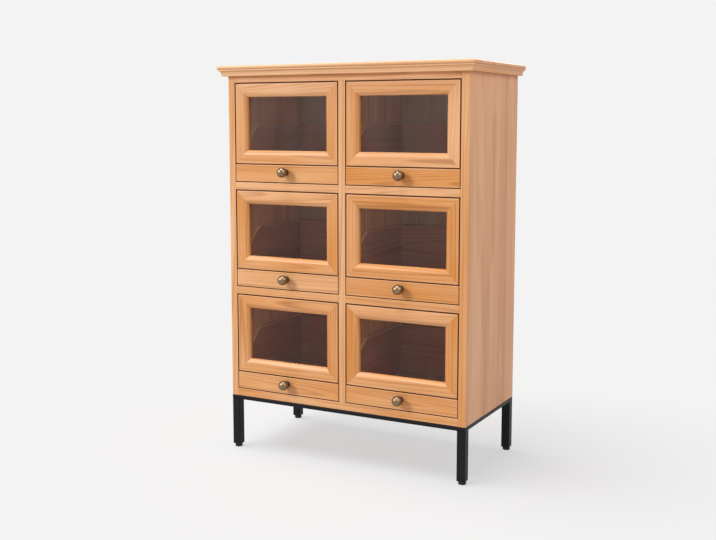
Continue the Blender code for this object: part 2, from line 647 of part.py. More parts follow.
def make_flap(unit, hinge):
    """A mitred frame bored for its rod, the glass in its rebate, and the rod that turns in the uprights."""
    half = FLAP_WIDTH / 2
    top, foot = PIVOT_DROP, PIVOT_DROP - FLAP_HEIGHT
    sections = []
    for side_x, side_z in ((-1, 1), (1, 1), (1, -1), (-1, -1)):
        edge = top if side_z > 0 else foot
        sections.append([(side_x * (half - inset), depth - PIVOT_SETBACK, edge - side_z * inset)
                         for inset, depth in flap_profile()])
    frame = loft(f"flap_frame_{unit}", hinge, sections, True, "honey_pine")
    combine(frame, cylinder(f"{frame.name}_rod_bore", hinge, (0, 0, 0), (1, 0, 0),
                            PIVOT_RADIUS + JOINT_GAP, FLAP_WIDTH + 2 * OVERSHOOT))
    inset = FLAP_MEMBER - GLASS_LAP + GLASS_CLEARANCE
    front = GLASS_SETBACK + JOINT_GAP - PIVOT_SETBACK
    box(f"flap_glass_{unit}", hinge, (inset - half, front, foot + inset),
        (half - inset, front + GLASS_THICKNESS, top - inset), "clear_glass")
    cylinder(f"flap_rod_{unit}", hinge, (0, 0, 0), (1, 0, 0), PIVOT_RADIUS,
             OPENING_WIDTH + 2 * PIVOT_ENTRY, "pivot_steel")


def make_case(chest):
    """The fixed pieces: base, case, front frame, top and cornice."""
    make_base(chest)
    make_feet(chest)
    for column, side in COLUMN_SIDES.items():
        make_side(chest, f"side_{column}", side)
        make_stile(chest, f"stile_{column}", side)
    for name, base, height in rail_specs():
        make_rail(chest, name, base, height)
    make_mullion(chest)
    make_partition(chest)
    bottom, lower, upper, _ = rail_specs()
    make_shelf(chest, "bottom_board", bottom[1], bottom[2], False)
    make_shelf(chest, "shelf_lower", lower[1], lower[2], True)
    make_shelf(chest, "shelf_upper", upper[1], upper[2], True)
    make_back(chest)
    make_top(chest)
    make_cornice(chest)


def make_bays(chest):
    """A drawer and a flap for each bay, on empties that stand on their joints' axes."""
    for row, floor in zip(ROW_NAMES, OPENING_FLOORS):
        for column, side in COLUMN_SIDES.items():
            unit = f"{row}_{column}"
            slide = new_empty(f"drawer_slide_{unit}", (side * BAY_CENTRE, 0, floor), chest)
            hinge = new_empty(f"flap_hinge_{unit}",
                              (side * BAY_CENTRE, PIVOT_SETBACK, floor + PIVOT_HEIGHT), chest)
            make_drawer_front(unit, slide)
            make_drawer_box(unit, slide)
            make_knob(unit, slide)
            make_flap(unit, hinge)


def main():
    """Build the chest with its origin on the floor, under the middle of its box."""
    chest = new_empty("apothecary_chest_origin", (0, FRONT_Y, 0))
    make_case(chest)
    make_bays(chest)
    for obj in PARTS.objects:
        if obj.type == "MESH" and obj.name.startswith(("knob", "foot", "flap_rod")):
            obj.data.shade_smooth()


main()
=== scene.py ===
# %% [markdown]
# # An apothecary chest
# The chest is a pine case on a black steel base, with six low drawers and a glazed flap above each.
# Pulling a drawer lifts its flap, because the curved front of the drawer's sides bears on the flap's
# back. The packed frame brings the solids that carry the joints. This lesson gives every visible piece
# its rounded edges, its grain and its finish, and keeps each one exactly where the frame has it.

import math

import bpy
import numpy as np
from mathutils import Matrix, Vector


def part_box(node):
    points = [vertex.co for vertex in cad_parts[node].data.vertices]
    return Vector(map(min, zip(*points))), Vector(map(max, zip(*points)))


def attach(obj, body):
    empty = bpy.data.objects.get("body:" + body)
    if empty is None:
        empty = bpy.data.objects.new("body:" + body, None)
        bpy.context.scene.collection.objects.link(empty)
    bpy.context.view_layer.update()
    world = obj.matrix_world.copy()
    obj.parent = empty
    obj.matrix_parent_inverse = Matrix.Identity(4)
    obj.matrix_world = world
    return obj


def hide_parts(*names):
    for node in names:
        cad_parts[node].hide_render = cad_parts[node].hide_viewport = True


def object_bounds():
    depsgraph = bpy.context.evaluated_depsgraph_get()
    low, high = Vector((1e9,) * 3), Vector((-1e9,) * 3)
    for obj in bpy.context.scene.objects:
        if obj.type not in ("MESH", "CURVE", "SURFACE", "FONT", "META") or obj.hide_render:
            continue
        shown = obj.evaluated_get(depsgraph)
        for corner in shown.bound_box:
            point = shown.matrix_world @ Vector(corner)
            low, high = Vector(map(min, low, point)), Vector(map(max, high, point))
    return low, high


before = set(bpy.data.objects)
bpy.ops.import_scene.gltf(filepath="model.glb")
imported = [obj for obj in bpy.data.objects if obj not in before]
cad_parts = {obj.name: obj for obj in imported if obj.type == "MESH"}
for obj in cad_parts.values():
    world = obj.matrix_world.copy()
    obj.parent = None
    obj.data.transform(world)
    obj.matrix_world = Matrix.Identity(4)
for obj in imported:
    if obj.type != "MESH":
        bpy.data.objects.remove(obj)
cad_low, cad_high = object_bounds()
scene = bpy.context.scene
scene.view_settings.view_transform = "Standard"

# %% [markdown]
# ## Where the camera stands
# The photograph was taken from the front, a little from the right, with a normal lens held almost level
# and lowered in its mount, which keeps the uprights nearly parallel. The place, the two angles and the
# focal length were found by fitting the chest's straight edges. Only a small part of the lens's drop is
# kept, since every other view of the chest keeps it too.

# %% Camera
IMAGE_WIDTH = 716
SENSOR_WIDTH = 36.0
FOCAL_PIXELS = 1052.6
LENS_DROP_PIXELS = 25
CAMERA_PLACE = (1.4154, -2.7348, 0.9813)
CAMERA_TURN = math.radians(27.99)
CAMERA_DIP = math.radians(6.71)

camera_data = bpy.data.cameras.new("camera")
camera_data.sensor_width = SENSOR_WIDTH
camera_data.lens = FOCAL_PIXELS * SENSOR_WIDTH / IMAGE_WIDTH
camera_data.shift_y = -LENS_DROP_PIXELS / IMAGE_WIDTH
camera = bpy.data.objects.new("camera", camera_data)
camera.location = CAMERA_PLACE
camera.rotation_euler = (math.pi / 2 - CAMERA_DIP, 0, CAMERA_TURN)
scene.collection.objects.link(camera)
scene.camera = camera
print(f"camera with a {camera_data.lens:.1f} mm lens")

# %% [markdown]
# ## Nodes in few words
# Every finish below is a small tree of shader nodes. Setting each node up by hand takes many lines, so a
# class wraps a tree in short calls: one makes a node, sets its options, and either links or fills its
# inputs, and the others do that for the kinds that are used most. A material is a tree that ends in the
# sockets of its one shader.


# %% Node trees
class Tree:
    """A tree of shader nodes, with the sockets in which it ends."""

    def __init__(self, tree, ends=None):
        self.tree = tree
        self.nodes = tree.nodes
        self.ends = ends

    def fill(self, socket, value):
        """Link a socket to another one, or set its own value."""
        if isinstance(value, bpy.types.NodeSocket):
            self.tree.links.new(value, socket)
        else:
            socket.default_value = value

    def feed(self, **values):
        """Link or fill the tree's end sockets, by names such as Base_Color."""
        for label, value in values.items():
            self.fill(self.ends[label.replace("_", " ")], value)

    def add(self, kind, inputs=None, **options):
        """Make a node, set its options, link or fill its named or numbered inputs, and give its outputs."""
        node = self.nodes.new(f"ShaderNode{kind}")
        for option, value in options.items():
            setattr(node, option, value)
        for key, value in (inputs or {}).items():
            self.fill(node.inputs[key], value)
        return node.outputs

    def math(self, operation, *values, clamp=False):
        """The result of a Math node over one, two or three values or sockets."""
        return self.add("Math", dict(enumerate(values)), operation=operation, use_clamp=clamp)[0]

    def times(self, first, second, plus=0.0, clamp=False):
        """A product and a sum: first x second + plus."""
        return self.math("MULTIPLY_ADD", first, second, plus, clamp=clamp)

    def mix(self, share, first, second, blend_type="MIX"):
        """The colour that lies a share of the way from the first colour to the second."""
        inputs = {0: share, 6: first, 7: second}
        return self.add("Mix", inputs, data_type="RGBA", blend_type=blend_type)[2]

    def noise(self, vector, stretch, detail):
        """Noise over coordinates that are multiplied by a different number along each axis."""
        place = self.add("VectorMath", {0: vector, 1: stretch}, operation="MULTIPLY")[0]
        return self.add("TexNoise", {"Vector": place, "Scale": 1.0, "Detail": detail})[0]

    def bump(self, height, strength, distance):
        """Normals that a height tilts."""
        return self.add("Bump", {"Height": height, "Strength": strength, "Distance": distance})[0]


print("node trees:", ", ".join(name for name in vars(Tree) if not name.startswith("_")))


# %% A material as a tree
class Finish(Tree):
    """A material with one Principled shader, whose sockets are set by name."""

    def __init__(self, name, **values):
        self.material = bpy.data.materials.new(name)
        self.material.use_nodes = True
        self.shader = self.material.node_tree.nodes["Principled BSDF"]
        super().__init__(self.material.node_tree, self.shader.inputs)
        self.feed(**values)

    def show(self, surface):
        """Let the surface show another shader in place of the one."""
        self.fill(self.nodes["Material Output"].inputs["Surface"], surface)


print(f"materials so far: {len(bpy.data.materials)}")

# %% [markdown]
# ## The studio
# The chest stands on a pale sweep that runs into a pale wall, in soft light from every side. A key lamp at
# the front left throws the small round shadows to the right of the knobs, a weaker fill lamp brings up the
# right side of the case, one behind lights the back, and one overhead lights the top. The key and the fill
# are round panels a few metres off, so their light falls off a little across the chest. The room's own
# light and the bounce from the floor are warm, so shadows on the wood stay warm too. Photographers hold a
# black flag between a lamp and the floor, so that only the object is lit by it. Here light linking does
# that for the four lamps, and a fifth, very broad one is kept for the floor, where it makes the soft shadow
# under the base. Rays that come from the camera, a reflection or a pane see the wall's pale grey, and the
# rest see the colour of the room's light.

# %% Room light
WALL_GREY = 0.896
ROOM_LIGHT = np.array((0.260, 0.200, 0.160))


def grey(level):
    """A colour with three equal parts."""
    return (level, level, level, 1)


def seen_directly(tree):
    """One for a ray from the camera, a reflection or a pane, and nought for any other."""
    path = tree.add("LightPath")
    indirect = tree.math("MAXIMUM", path["Is Glossy Ray"], path["Is Transmission Ray"])
    return tree.math("MAXIMUM", path["Is Camera Ray"], indirect)


def light_room():
    """The room's even light, with the pale wall for rays that see it directly."""
    scene.world = bpy.data.worlds.new("studio")
    scene.world.use_nodes = True
    tree = Tree(scene.world.node_tree)
    tree.nodes.clear()
    colour = tree.mix(seen_directly(tree), (*ROOM_LIGHT, 1), grey(WALL_GREY))
    tree.add("OutputWorld", {"Surface": tree.add("Background", {"Color": colour})[0]})


light_room()
print(f"a room at {ROOM_LIGHT.mean():.2f} with a wall at {WALL_GREY}")

# %% Floor
FLOOR_LIGHT = 0.60
FLOOR_RISE = 68
FLOOR_HALF = 30.0
FLOOR_BOUNCE = (0.80, 0.71, 0.64, 1)
FLOOR_SHADOW = 0.43


def lay_floor():
    """A wide pale floor: seen directly, part of its grey is its own light, so its shadows stay pale."""
    finish = Finish("pale_floor")
    finish.nodes.remove(finish.shader)
    lit_level = ROOM_LIGHT + FLOOR_LIGHT * math.sin(math.radians(FLOOR_RISE))
    own_light = WALL_GREY - FLOOR_SHADOW * lit_level
    bounce = finish.add("BsdfDiffuse", {"Color": FLOOR_BOUNCE})[0]
    shadowed = finish.add("BsdfDiffuse", {"Color": grey(FLOOR_SHADOW)})[0]
    glow = finish.add("Emission", {"Color": (*own_light, 1)})[0]
    shown = finish.add("AddShader", {0: shadowed, 1: glow})[0]
    finish.show(finish.add("MixShader", {0: seen_directly(finish), 1: bounce, 2: shown})[0])
    mesh = bpy.data.meshes.new("studio_floor")
    corners = FLOOR_HALF * np.array([(-1, -1, 0), (1, -1, 0), (1, 1, 0), (-1, 1, 0)])
    mesh.from_pydata(corners.tolist(), [], [(0, 1, 2, 3)])
    mesh.materials.append(finish.material)
    floor = bpy.data.objects.new("studio_floor", mesh)
    scene.collection.objects.link(floor)
    return floor


floor = lay_floor()
print(f"a floor of {2 * FLOOR_HALF:.0f} m each way")

# %% Lamps
# Level, degrees of turn to the left, of rise and of spread, and for a panel its distance in metres.
LAMPS = {
    "key_lamp": (0.61, 39, 28, 20, 8.0),
    "fill_lamp": (0.33, -75, 36, 30, 5.0),
    "back_lamp": (0.45, 165, 14, 40),
    "top_lamp": (0.58, 20, 80, 24),
    "floor_lamp": (FLOOR_LIGHT, 62, FLOOR_RISE, 50),
}


def hang_lamp(name, level, turn, rise, spread, distance=None):
    """A lamp at degrees of turn to the left of the front, of rise, and of spread as the chest sees it.

    With a distance it is a round panel that faces the middle of the chest, and otherwise a sun lamp. A
    white face turned to a sun of energy pi, or to a panel of pi squared watts a metre off, is at level one.
    Behind glass it counts only through the shadow colour of the pane.
    """
    lamp_data = bpy.data.lights.new(name, "AREA" if distance else "SUN")
    lamp = bpy.data.objects.new(name, lamp_data)
    lamp.rotation_euler = (math.radians(90 - rise), 0, math.radians(-turn))
    if distance:
        lamp_data.shape = "DISK"
        lamp_data.size = 2 * distance * math.tan(math.radians(spread / 2))
        lamp_data.energy = level * (math.pi * distance) ** 2
        lamp.location = (cad_low + cad_high) / 2 + lamp.rotation_euler.to_matrix().col[2] * distance
    else:
        lamp_data.energy = level * math.pi
        lamp_data.angle = math.radians(spread)
    lamp.visible_transmission = False
    scene.collection.objects.link(lamp)
    return lamp


receivers = {}
for state in ("INCLUDE", "EXCLUDE"):
    receivers[state] = bpy.data.collections.new(f"floor_{state.lower()}d")
    receivers[state].objects.link(floor)
    receivers[state].collection_objects[0].light_linking.link_state = state
for name, setting in LAMPS.items():
    lamp = hang_lamp(name, *setting)
    lamp.light_linking.receiver_collection = receivers["INCLUDE" if name == "floor_lamp" else "EXCLUDE"]
print("lamps:", ", ".join(LAMPS))

# %% [markdown]
# ## How pine looks
# Pine is a stack of cones: every year adds a soft pale layer and a thin hard brown one. A board shows
# whatever its saw cut through, straight lines near the edge and tall arches in the middle. So the rings
# are worked out in the log and not painted on the face: each point of a board knows where it sat in the
# log, its distance from the pith is divided by the width of a year, and the fraction that is left says
# how far through the year the wood is there. Fine streaks along the fibres lie over that. Both effects
# are node groups, so that every wood of the chest can share them.

# %% A group as a tree
SOCKET_KINDS = {"Grain": "Vector", "Pale": "Color", "Dark": "Color", "Colour": "Color"}


class Group(Tree):
    """A node group that is given some sockets and ends in others; any that has no kind is a number."""

    def __init__(self, name, given, made):
        tree = bpy.data.node_groups.new(name, "ShaderNodeTree")
        for in_out, labels in (("INPUT", given), ("OUTPUT", made)):
            for label in labels.split():
                kind = SOCKET_KINDS.get(label, "Float")
                tree.interface.new_socket(label, in_out=in_out, socket_type=f"NodeSocket{kind}")
        self.given = tree.nodes.new("NodeGroupInput").outputs
        super().__init__(tree, tree.nodes.new("NodeGroupOutput").inputs)

    def place(self, tree, **inputs):
        """Put the group into another tree, and give its outputs there."""
        return tree.add("Group", inputs, node_tree=self.tree)


print("sockets that are no plain numbers:", ", ".join(SOCKET_KINDS))

# %% Growth rings and fibres
RING_WOBBLE = 0.012
WOBBLE_STRETCH = (1.1, 7.0, 7.0)
YEAR_LEVELS = ((0.35, 0.08), (0.62, 0.35), (0.84, 0.95), (0.92, 0.8))
YEAR_LEAST, YEAR_SPREAD = 0.4, 0.6
FIBRE_STRETCH = (5.0, 240.0, 240.0)
FIGURE_STRETCH = (2.2, 95.0, 95.0)


def make_log_rings():
    """How deep into the brown late wood a point of the log lies, from nought to one.

    Year = (distance from the pith + a slow wobble) / ring width. Its fraction goes through a ramp that
    darkens slowly and ends sharply, and each whole year has its own strength.
    """
    group = Group("log_rings", "Grain Ring", "Late")
    grain = group.given["Grain"]
    cross = group.add("VectorMath", {0: grain, 1: (0, 1, 1)}, operation="MULTIPLY")[0]
    radius = group.add("VectorMath", {0: cross}, operation="LENGTH")["Value"]
    bent = group.times(group.noise(grain, WOBBLE_STRETCH, 2.0), RING_WOBBLE, radius)
    year = group.math("DIVIDE", bent, group.given["Ring"])
    depth = group.add("ValToRGB", {"Fac": group.math("FRACT", year)})[0]
    levels = depth.node.color_ramp.elements
    levels[1].color = grey(0)
    for place, level in YEAR_LEVELS:
        levels.new(place).color = grey(level)
    chance = group.add("TexWhiteNoise", {"W": group.math("FLOOR", year)}, noise_dimensions="1D")["Value"]
    group.feed(Late=group.times(depth, group.times(chance, YEAR_SPREAD, YEAR_LEAST)))
    return group


def make_fibre_streaks():
    """Streaks along the fibres, from nought to one: the mean of a fine noise and a broad one, drawn out."""
    group = Group("fibre_streaks", "Grain", "Streak")
    fine = group.noise(group.given["Grain"], FIBRE_STRETCH, 3.0)
    broad = group.noise(group.given["Grain"], FIGURE_STRETCH, 2.0)
    group.feed(Streak=group.times(group.math("ADD", fine, broad), 0.5))
    return group


LOG_RINGS = make_log_rings()
FIBRE_STREAKS = make_fibre_streaks()
print("groups:", LOG_RINGS.tree.name, FIBRE_STREAKS.tree.name)

# %% [markdown]
# ## From figure to finish
# A second layer of groups turns rings and fibres into colour. Stain sinks into the soft wood and leaves
# the late wood darker and redder. Hands and cloths thin the varnish on the eased edges, so these are a
# little paler, and a painted highlight lies on them too. Deep in the gaps round the fronts the colour
# turns to a painted shade. Wide panels are glued up from staves of different boards: the panel's width
# is divided by the width of a stave, and the whole number picks a new place in the log and a new shade.

# %% Wood colour
STAIN_PALE = (1.13, 1.34, 1.75, 1)
STAIN_DEEP = (0.87, 0.66, 0.25, 1)
STAIN_RANGE = 2.0
# The pale of eased edges: worn varnish, and a painted highlight.
EDGE_WEAR_AND_HIGHLIGHT = (0.92, 0.60, 0.34, 1)
# Painted shade: the colour deep in a gap.
PAINTED_GAP_SHADE_COLOUR = (0.16, 0.042, 0.008, 1)
GAP_DULL = 0.5
STREAK_SHARE = 1.5
STREAK_GLOSS = 0.16
LATE_RELIEF = -0.4
BLOTCH_STRETCH = (3.0, 14.0, 14.0)


def make_wood_figure():
    """Colour, roughness and relief of a wood from its place in the log, its shade, its edges and its gaps.

    The share of dark colour is late wood times contrast, plus the streaks about their middle. The stain
    runs from pale at a shade of -0.5 to deep at 1.5, and blotches swing the shade to and fro along a board.
    Eased edges turn paler, as wear and as a painted highlight, and deep in a gap the colour turns to a
    painted shade without shine.
    """
    group = Group("wood_figure", "Grain Shade Edge Recess Pale Dark Ring Contrast Blotch Rub Base",
                  "Colour Roughness Relief")
    given, times, mix = group.given, group.times, group.mix
    late = LOG_RINGS.place(group, Grain=given["Grain"], Ring=given["Ring"])[0]
    streak = FIBRE_STREAKS.place(group, Grain=given["Grain"])[0]
    swing = times(streak, STREAK_SHARE, -STREAK_SHARE / 2)
    figure = mix(times(late, given["Contrast"], swing, clamp=True), given["Pale"], given["Dark"])
    blotch = group.math("SUBTRACT", group.noise(given["Grain"], BLOTCH_STRETCH, 2.0), 0.5)
    shade = times(blotch, given["Blotch"], given["Shade"])
    depth = times(shade, 1 / STAIN_RANGE, 0.5 / STAIN_RANGE, clamp=True)
    stained = mix(1.0, figure, mix(depth, STAIN_PALE, STAIN_DEEP), "MULTIPLY")
    # Eased edges turn paler: thinned varnish, and a painted highlight.
    wear_and_highlight = times(group.math("ADD", streak, 0.5), given["Rub"])
    worn_and_highlighted = mix(times(given["Edge"], wear_and_highlight, clamp=True), stained, EDGE_WEAR_AND_HIGHLIGHT)
    gloss = times(streak, STREAK_GLOSS, given["Base"])
    group.feed(Colour=mix(given["Recess"], worn_and_highlighted, PAINTED_GAP_SHADE_COLOUR),
               Roughness=times(given["Recess"], GAP_DULL, gloss),
               Relief=times(late, LATE_RELIEF, streak))
    return group


WOOD_FIGURE = make_wood_figure()
print("group:", WOOD_FIGURE.tree.name)

# %% Staves
STAVE_SPREAD = 0.38
STAVE_MOVES = ((31.0, 0.0), (0.10, -0.08), (0.06, 0.025))


def make_staves():
    """Board coordinates cut into staves, each moved to its own place in the log, and the shade of each.

    Along, across and through the log a stave moves by a random share of one number, plus another.
    """
    group = Group("staves", "Grain Width", "Grain Shade")
    width = group.given["Width"]
    along, across, through = group.add("SeparateXYZ", {0: group.given["Grain"]})
    count = group.math("DIVIDE", across, width)
    chance = group.add("TexWhiteNoise", {"W": group.math("FLOOR", count)}, noise_dimensions="1D")["Color"]
    picks = group.add("SeparateColor", {0: chance})
    places = (along, group.times(group.math("FRACT", count), width), through)
    moved = [group.math("ADD", place, group.times(pick, *move))
             for place, pick, move in zip(places, picks, STAVE_MOVES)]
    group.feed(Grain=group.add("CombineXYZ", dict(enumerate(moved)))[0],
               Shade=group.times(picks[0], STAVE_SPREAD, 0.5 - STAVE_SPREAD / 2))
    return group


STAVES = make_staves()
print("group:", STAVES.tree.name)

# %% [markdown]
# ## The woods of this chest
# The case and fronts are honey-stained pine under a satin varnish. The drawers behind the glass are a
# plainer brown wood, oiled only, and the back and drawer bottoms are plywood. All share the wood group
# and differ in colour, ring width and gloss. Boards made in this lesson carry four attributes on their
# points: the place in the log, the shade, how far the point is on an eased edge, and how much of the
# painted shade of a gap lies on it. The solids kept from the frame have none of these, so their wood
# reads Object coordinates through a Mapping node.

# %% Where a point sat in the log
STAVE_WIDTH = 0.064
INNER_STAVE = 0.09


def read_attribute(tree, name, output="Fac"):
    """A value that the piece's own points carry."""
    return tree.add("Attribute", attribute_name=name)[output]


def board_coordinates(tree):
    """What a single board knows: its place in the log, its shade, its eased edges and its gaps."""
    values = {name.capitalize(): read_attribute(tree, name) for name in ("shade", "edge", "recess")}
    return {"Grain": read_attribute(tree, "grain", "Vector"), **values}


def panel_coordinates(tree):
    """The same for a panel that is glued up from staves."""
    cut = STAVES.place(tree, Grain=read_attribute(tree, "grain", "Vector"), Width=STAVE_WIDTH)
    return {**dict(cut.items()), "Edge": read_attribute(tree, "edge")}


def level_coordinates(tree, turn=(0, 0, 0)):
    """The same for a solid of the frame, turned so that the fibres run along the first axis."""
    place = tree.add("TexCoord")["Object"]
    turned_place = tree.add("Mapping", {"Vector": place, "Rotation": turn})[0]
    return dict(STAVES.place(tree, Grain=turned_place, Width=INNER_STAVE).items())


def upright_coordinates(tree):
    """The same for a solid whose fibres stand upright."""
    return level_coordinates(tree, (0, math.pi / 2, 0))


print(f"staves of {STAVE_WIDTH * 1000:.0f} mm in panels and {INNER_STAVE * 1000:.0f} mm inside")

# %% Woods
GRAIN_DEPTH = 0.0006


def wood_material(name, coordinates, relief, varnish, **figure):
    """A wood: the wood group turns its coordinates into colour, roughness and a fine bump."""
    finish = Finish(name, **varnish)
    wood = WOOD_FIGURE.place(finish, **coordinates(finish), **figure)
    finish.feed(Base_Color=wood["Colour"], Roughness=wood["Roughness"],
                Normal=finish.bump(wood["Relief"], relief, GRAIN_DEPTH))
    return finish.material


SATIN = dict(Coat_Weight=0.10, Coat_Roughness=0.38, Specular_IOR_Level=0.45)
HONEY = dict(Pale=(0.785, 0.414, 0.184, 1), Dark=(0.49, 0.207, 0.066, 1), Ring=0.0042, Contrast=0.80,
             Blotch=2.2, Rub=0.45, Base=0.34, relief=0.22, varnish=SATIN)
PANEL = dict(HONEY, Pale=(0.755, 0.403, 0.200, 1), Dark=(0.52, 0.230, 0.095, 1), Contrast=0.6, Blotch=1.4)
BROWN = dict(Pale=(0.53, 0.228, 0.126, 1), Dark=(0.33, 0.115, 0.060, 1), Ring=0.0050, Contrast=0.7,
             Blotch=2.2, Rub=1.4, Base=0.52, relief=0.3, varnish={})
PLY = dict(Pale=(0.56, 0.36, 0.21, 1), Dark=(0.40, 0.22, 0.115, 1), Ring=0.0090, Contrast=0.5,
           Blotch=0.8, Rub=0.2, Base=0.55, relief=0.25, varnish={})
PINE = wood_material("honey_pine", board_coordinates, **HONEY)
PINE_PANEL = wood_material("honey_pine_panel", panel_coordinates, **PANEL)
DRAWER_WOOD = wood_material("drawer_wood", board_coordinates, **BROWN)
PLYWOOD = wood_material("plywood", board_coordinates, **PLY)
INNER_LEVEL = wood_material("inner_pine_level", level_coordinates, **HONEY)
INNER_UPRIGHT = wood_material("inner_pine_upright", upright_coordinates, **HONEY)
print("woods:", PINE.name, PINE_PANEL.name, DRAWER_WOOD.name, PLYWOOD.name)

# %% [markdown]
# ## Metal, glass and rubber
# The knobs are brass that was darkened and then rubbed bright on the crown, so a noise lets some dark
# patina back in and the hollows keep all of it. Powder coat is sprayed on dry and melted, which leaves a
# faint orange-peel skin. Deep in the gaps round the fronts a matte dark brown without any shine is
# painted as shade. The panes are clear float glass with the odd wiped smear, and a thin film that is
# left mostly on the upper ones: a coat layer, which mirrors a little more of the room. Their material
# turns transparent to lamp rays, because some light does reach the inside of the chest through them.

# %% Metal, rubber and dirt
PATINA_CLOUD = 0.9
PATINA_RUBBED = 0.25
PEEL_WAVES = (900.0, 900.0, 900.0)
PEEL_STRENGTH = 0.2
PEEL_DEPTH = 0.0003


def object_noise(tree, stretch, detail):
    """Noise over the piece's own Object coordinates, in waves per metre."""
    return tree.noise(tree.add("TexCoord")["Object"], stretch, detail)


def clouded(name, first, second, waves, rough, spread, detail=3.0, patina=False, peel=False, **values):
    """A finish that drifts between two colours and two roughnesses on one noise.

    With patina, the share of the second colour is most of the noise, plus how deep in a hollow the point
    lies, minus what is rubbed away. With peel, a very fine noise raises an orange-peel skin.
    """
    finish = Finish(name, **values)
    share = object_noise(finish, waves, detail)
    if patina:
        hollow = finish.math("SUBTRACT", read_attribute(finish, "recess"), PATINA_RUBBED)
        share = finish.times(share, PATINA_CLOUD, hollow, clamp=True)
    finish.feed(Base_Color=finish.mix(share, (*first, 1), (*second, 1)),
                Roughness=finish.times(share, spread, rough))
    if peel:
        finish.feed(Normal=finish.bump(object_noise(finish, PEEL_WAVES, 1.0), PEEL_STRENGTH, PEEL_DEPTH))
    return finish.material


BRASS = clouded("antique_brass", (0.31, 0.210, 0.130), (0.060, 0.034, 0.018), (160.0,) * 3, 0.29, 0.20,
                detail=4.0, patina=True, Metallic=1.0)
POWDER_COAT = clouded("black_powder_coat", (0.004, 0.004, 0.006), (0.009, 0.008, 0.011), (30.0,) * 3,
                      0.36, 0.18, peel=True, Specular_IOR_Level=0.18)
STEEL = clouded("drawn_steel", (0.36, 0.36, 0.38), (0.55, 0.55, 0.57), (4.0, 900.0, 900.0), 0.25, 0.2,
                Metallic=1.0)
RUBBER = clouded("black_rubber", (0.009, 0.009, 0.010), (0.018, 0.018, 0.019), (300.0,) * 3, 0.55, 0.3)
# A matte dark brown for faces deep in the gaps: painted shade.
PAINTED_GAP_SHADE_FINISH = clouded("painted_gap_shade", (0.19, 0.042, 0.006), (0.28, 0.066, 0.012), (60.0,) * 3, 0.75, 0.2,
                   Specular_IOR_Level=0.0)
print("other finishes:", BRASS.name, POWDER_COAT.name, STEEL.name, RUBBER.name, PAINTED_GAP_SHADE_FINISH.name)

# %% Glass
PANE_TINT = (0.95, 0.92, 0.90, 1)
PANE_SHADOW = (0.58, 0.46, 0.45, 1)
SMEAR_WAVES = (9.0, 9.0, 30.0)
SMEAR_ROUGHNESS = 0.05
WIPE_WAVES = (26.0, 26.0, 3.0)
WIPE_SPREAD, WIPE_LEAST = 0.9, -0.05
FILM_HEIGHTS = (0.55, 1.0)
FILM_SHARES = (0.3, 0.9)


def make_pane():
    """Clear glass with faint smears and an upward film, which lets part of the lamp rays through."""
    finish = Finish("clear_glass", Transmission_Weight=1.0, IOR=1.22, Base_Color=PANE_TINT,
                    Coat_Roughness=0.06)
    height = finish.add("SeparateXYZ", {0: finish.add("TexCoord")["Object"]})[2]
    film = finish.add("MapRange", dict(enumerate((height, *FILM_HEIGHTS, *FILM_SHARES))))[0]
    wiped = finish.times(object_noise(finish, WIPE_WAVES, 2.0), WIPE_SPREAD, WIPE_LEAST)
    finish.feed(Roughness=finish.times(object_noise(finish, SMEAR_WAVES, 2.0), SMEAR_ROUGHNESS),
                Coat_Weight=finish.times(film, wiped, clamp=True))
    from_lamp = finish.add("LightPath")["Is Shadow Ray"]
    clear = finish.add("BsdfTransparent", {"Color": PANE_SHADOW})[0]
    finish.show(finish.add("MixShader", {0: from_lamp, 1: finish.shader.outputs[0], 2: clear})[0])
    return finish.material


PANE = make_pane()
print("glass:", PANE.name)

# %% [markdown]
# ## A profile with eased corners
# A joiner takes every sharp corner off with a plane or a strip of sandpaper. On a computer the corner is
# replaced by an arc. Given the corners of an outline and a radius for each, the arcs of all corners come
# out of one array calculation. Blender's Bevel modifier would do it too, but here each corner can have its
# own radius, and the same outline can be drawn in for the rounded ends of a board.

# %% Eased profiles
ARC_STEPS = 4
SUPPORT = 0.0018
SPARE_SHARE = 0.4
LEAST_RADIUS = 0.00003


def unit(vectors):
    """Vectors of length one."""
    return vectors / np.linalg.norm(vectors, axis=-1, keepdims=True)


def eased_profile(corners, radii, inset=0.0, support=SUPPORT):
    """A closed outline with rounded corners as (u, v) points, listed anticlockwise as the corners are.

    A corner first moves inwards along its bisector by the inset over the sine of half its angle, and its
    radius shrinks by the inset, or grows where the corner is a hollow one. A circle of that radius then
    touches both edges: its centre lies on the bisector at the radius over the same sine, and the arc runs
    between the two touching points. One more point stands a little way along each edge, so that smooth
    shading stays in the rounding and the faces stay flat.
    """
    corners = np.asarray(corners, float)
    back = unit(np.roll(corners, 1, axis=0) - corners)
    ahead = unit(np.roll(corners, -1, axis=0) - corners)
    bisector = unit(back + ahead)
    half = np.arccos(np.clip((back * ahead).sum(1), -1, 1))[:, None] / 2
    outward = np.sign(ahead[:, :1] * back[:, 1:] - ahead[:, 1:] * back[:, :1])
    radii = np.broadcast_to(np.asarray(radii, float), len(corners))[:, None]
    radii = np.maximum(radii - outward * inset, LEAST_RADIUS)
    corners = corners + bisector * outward * inset / np.sin(half)
    centre = corners + bisector * radii / np.sin(half)
    touch = radii / np.tan(half)
    start = corners + back * touch - centre
    end = corners + ahead * touch - centre
    first = np.arctan2(start[:, 1], start[:, 0])[:, None]
    sweep = (np.arctan2(end[:, 1], end[:, 0])[:, None] - first + math.pi) % (2 * math.pi) - math.pi
    angle = first + sweep * np.linspace(0, 1, ARC_STEPS + 1)
    arc = centre[:, None] + radii[:, None] * np.stack((np.cos(angle), np.sin(angle)), -1)
    length = np.linalg.norm(np.roll(corners, -1, axis=0) - corners, axis=1)[:, None]
    spare = np.minimum(support, SPARE_SHARE * (length - touch - np.roll(touch, -1, axis=0)))
    before = corners + back * (touch + np.roll(spare, 1, axis=0))
    after = corners + ahead * (touch + spare)
    return np.concatenate((before[:, None], arc, after[:, None]), axis=1).reshape(-1, 2)


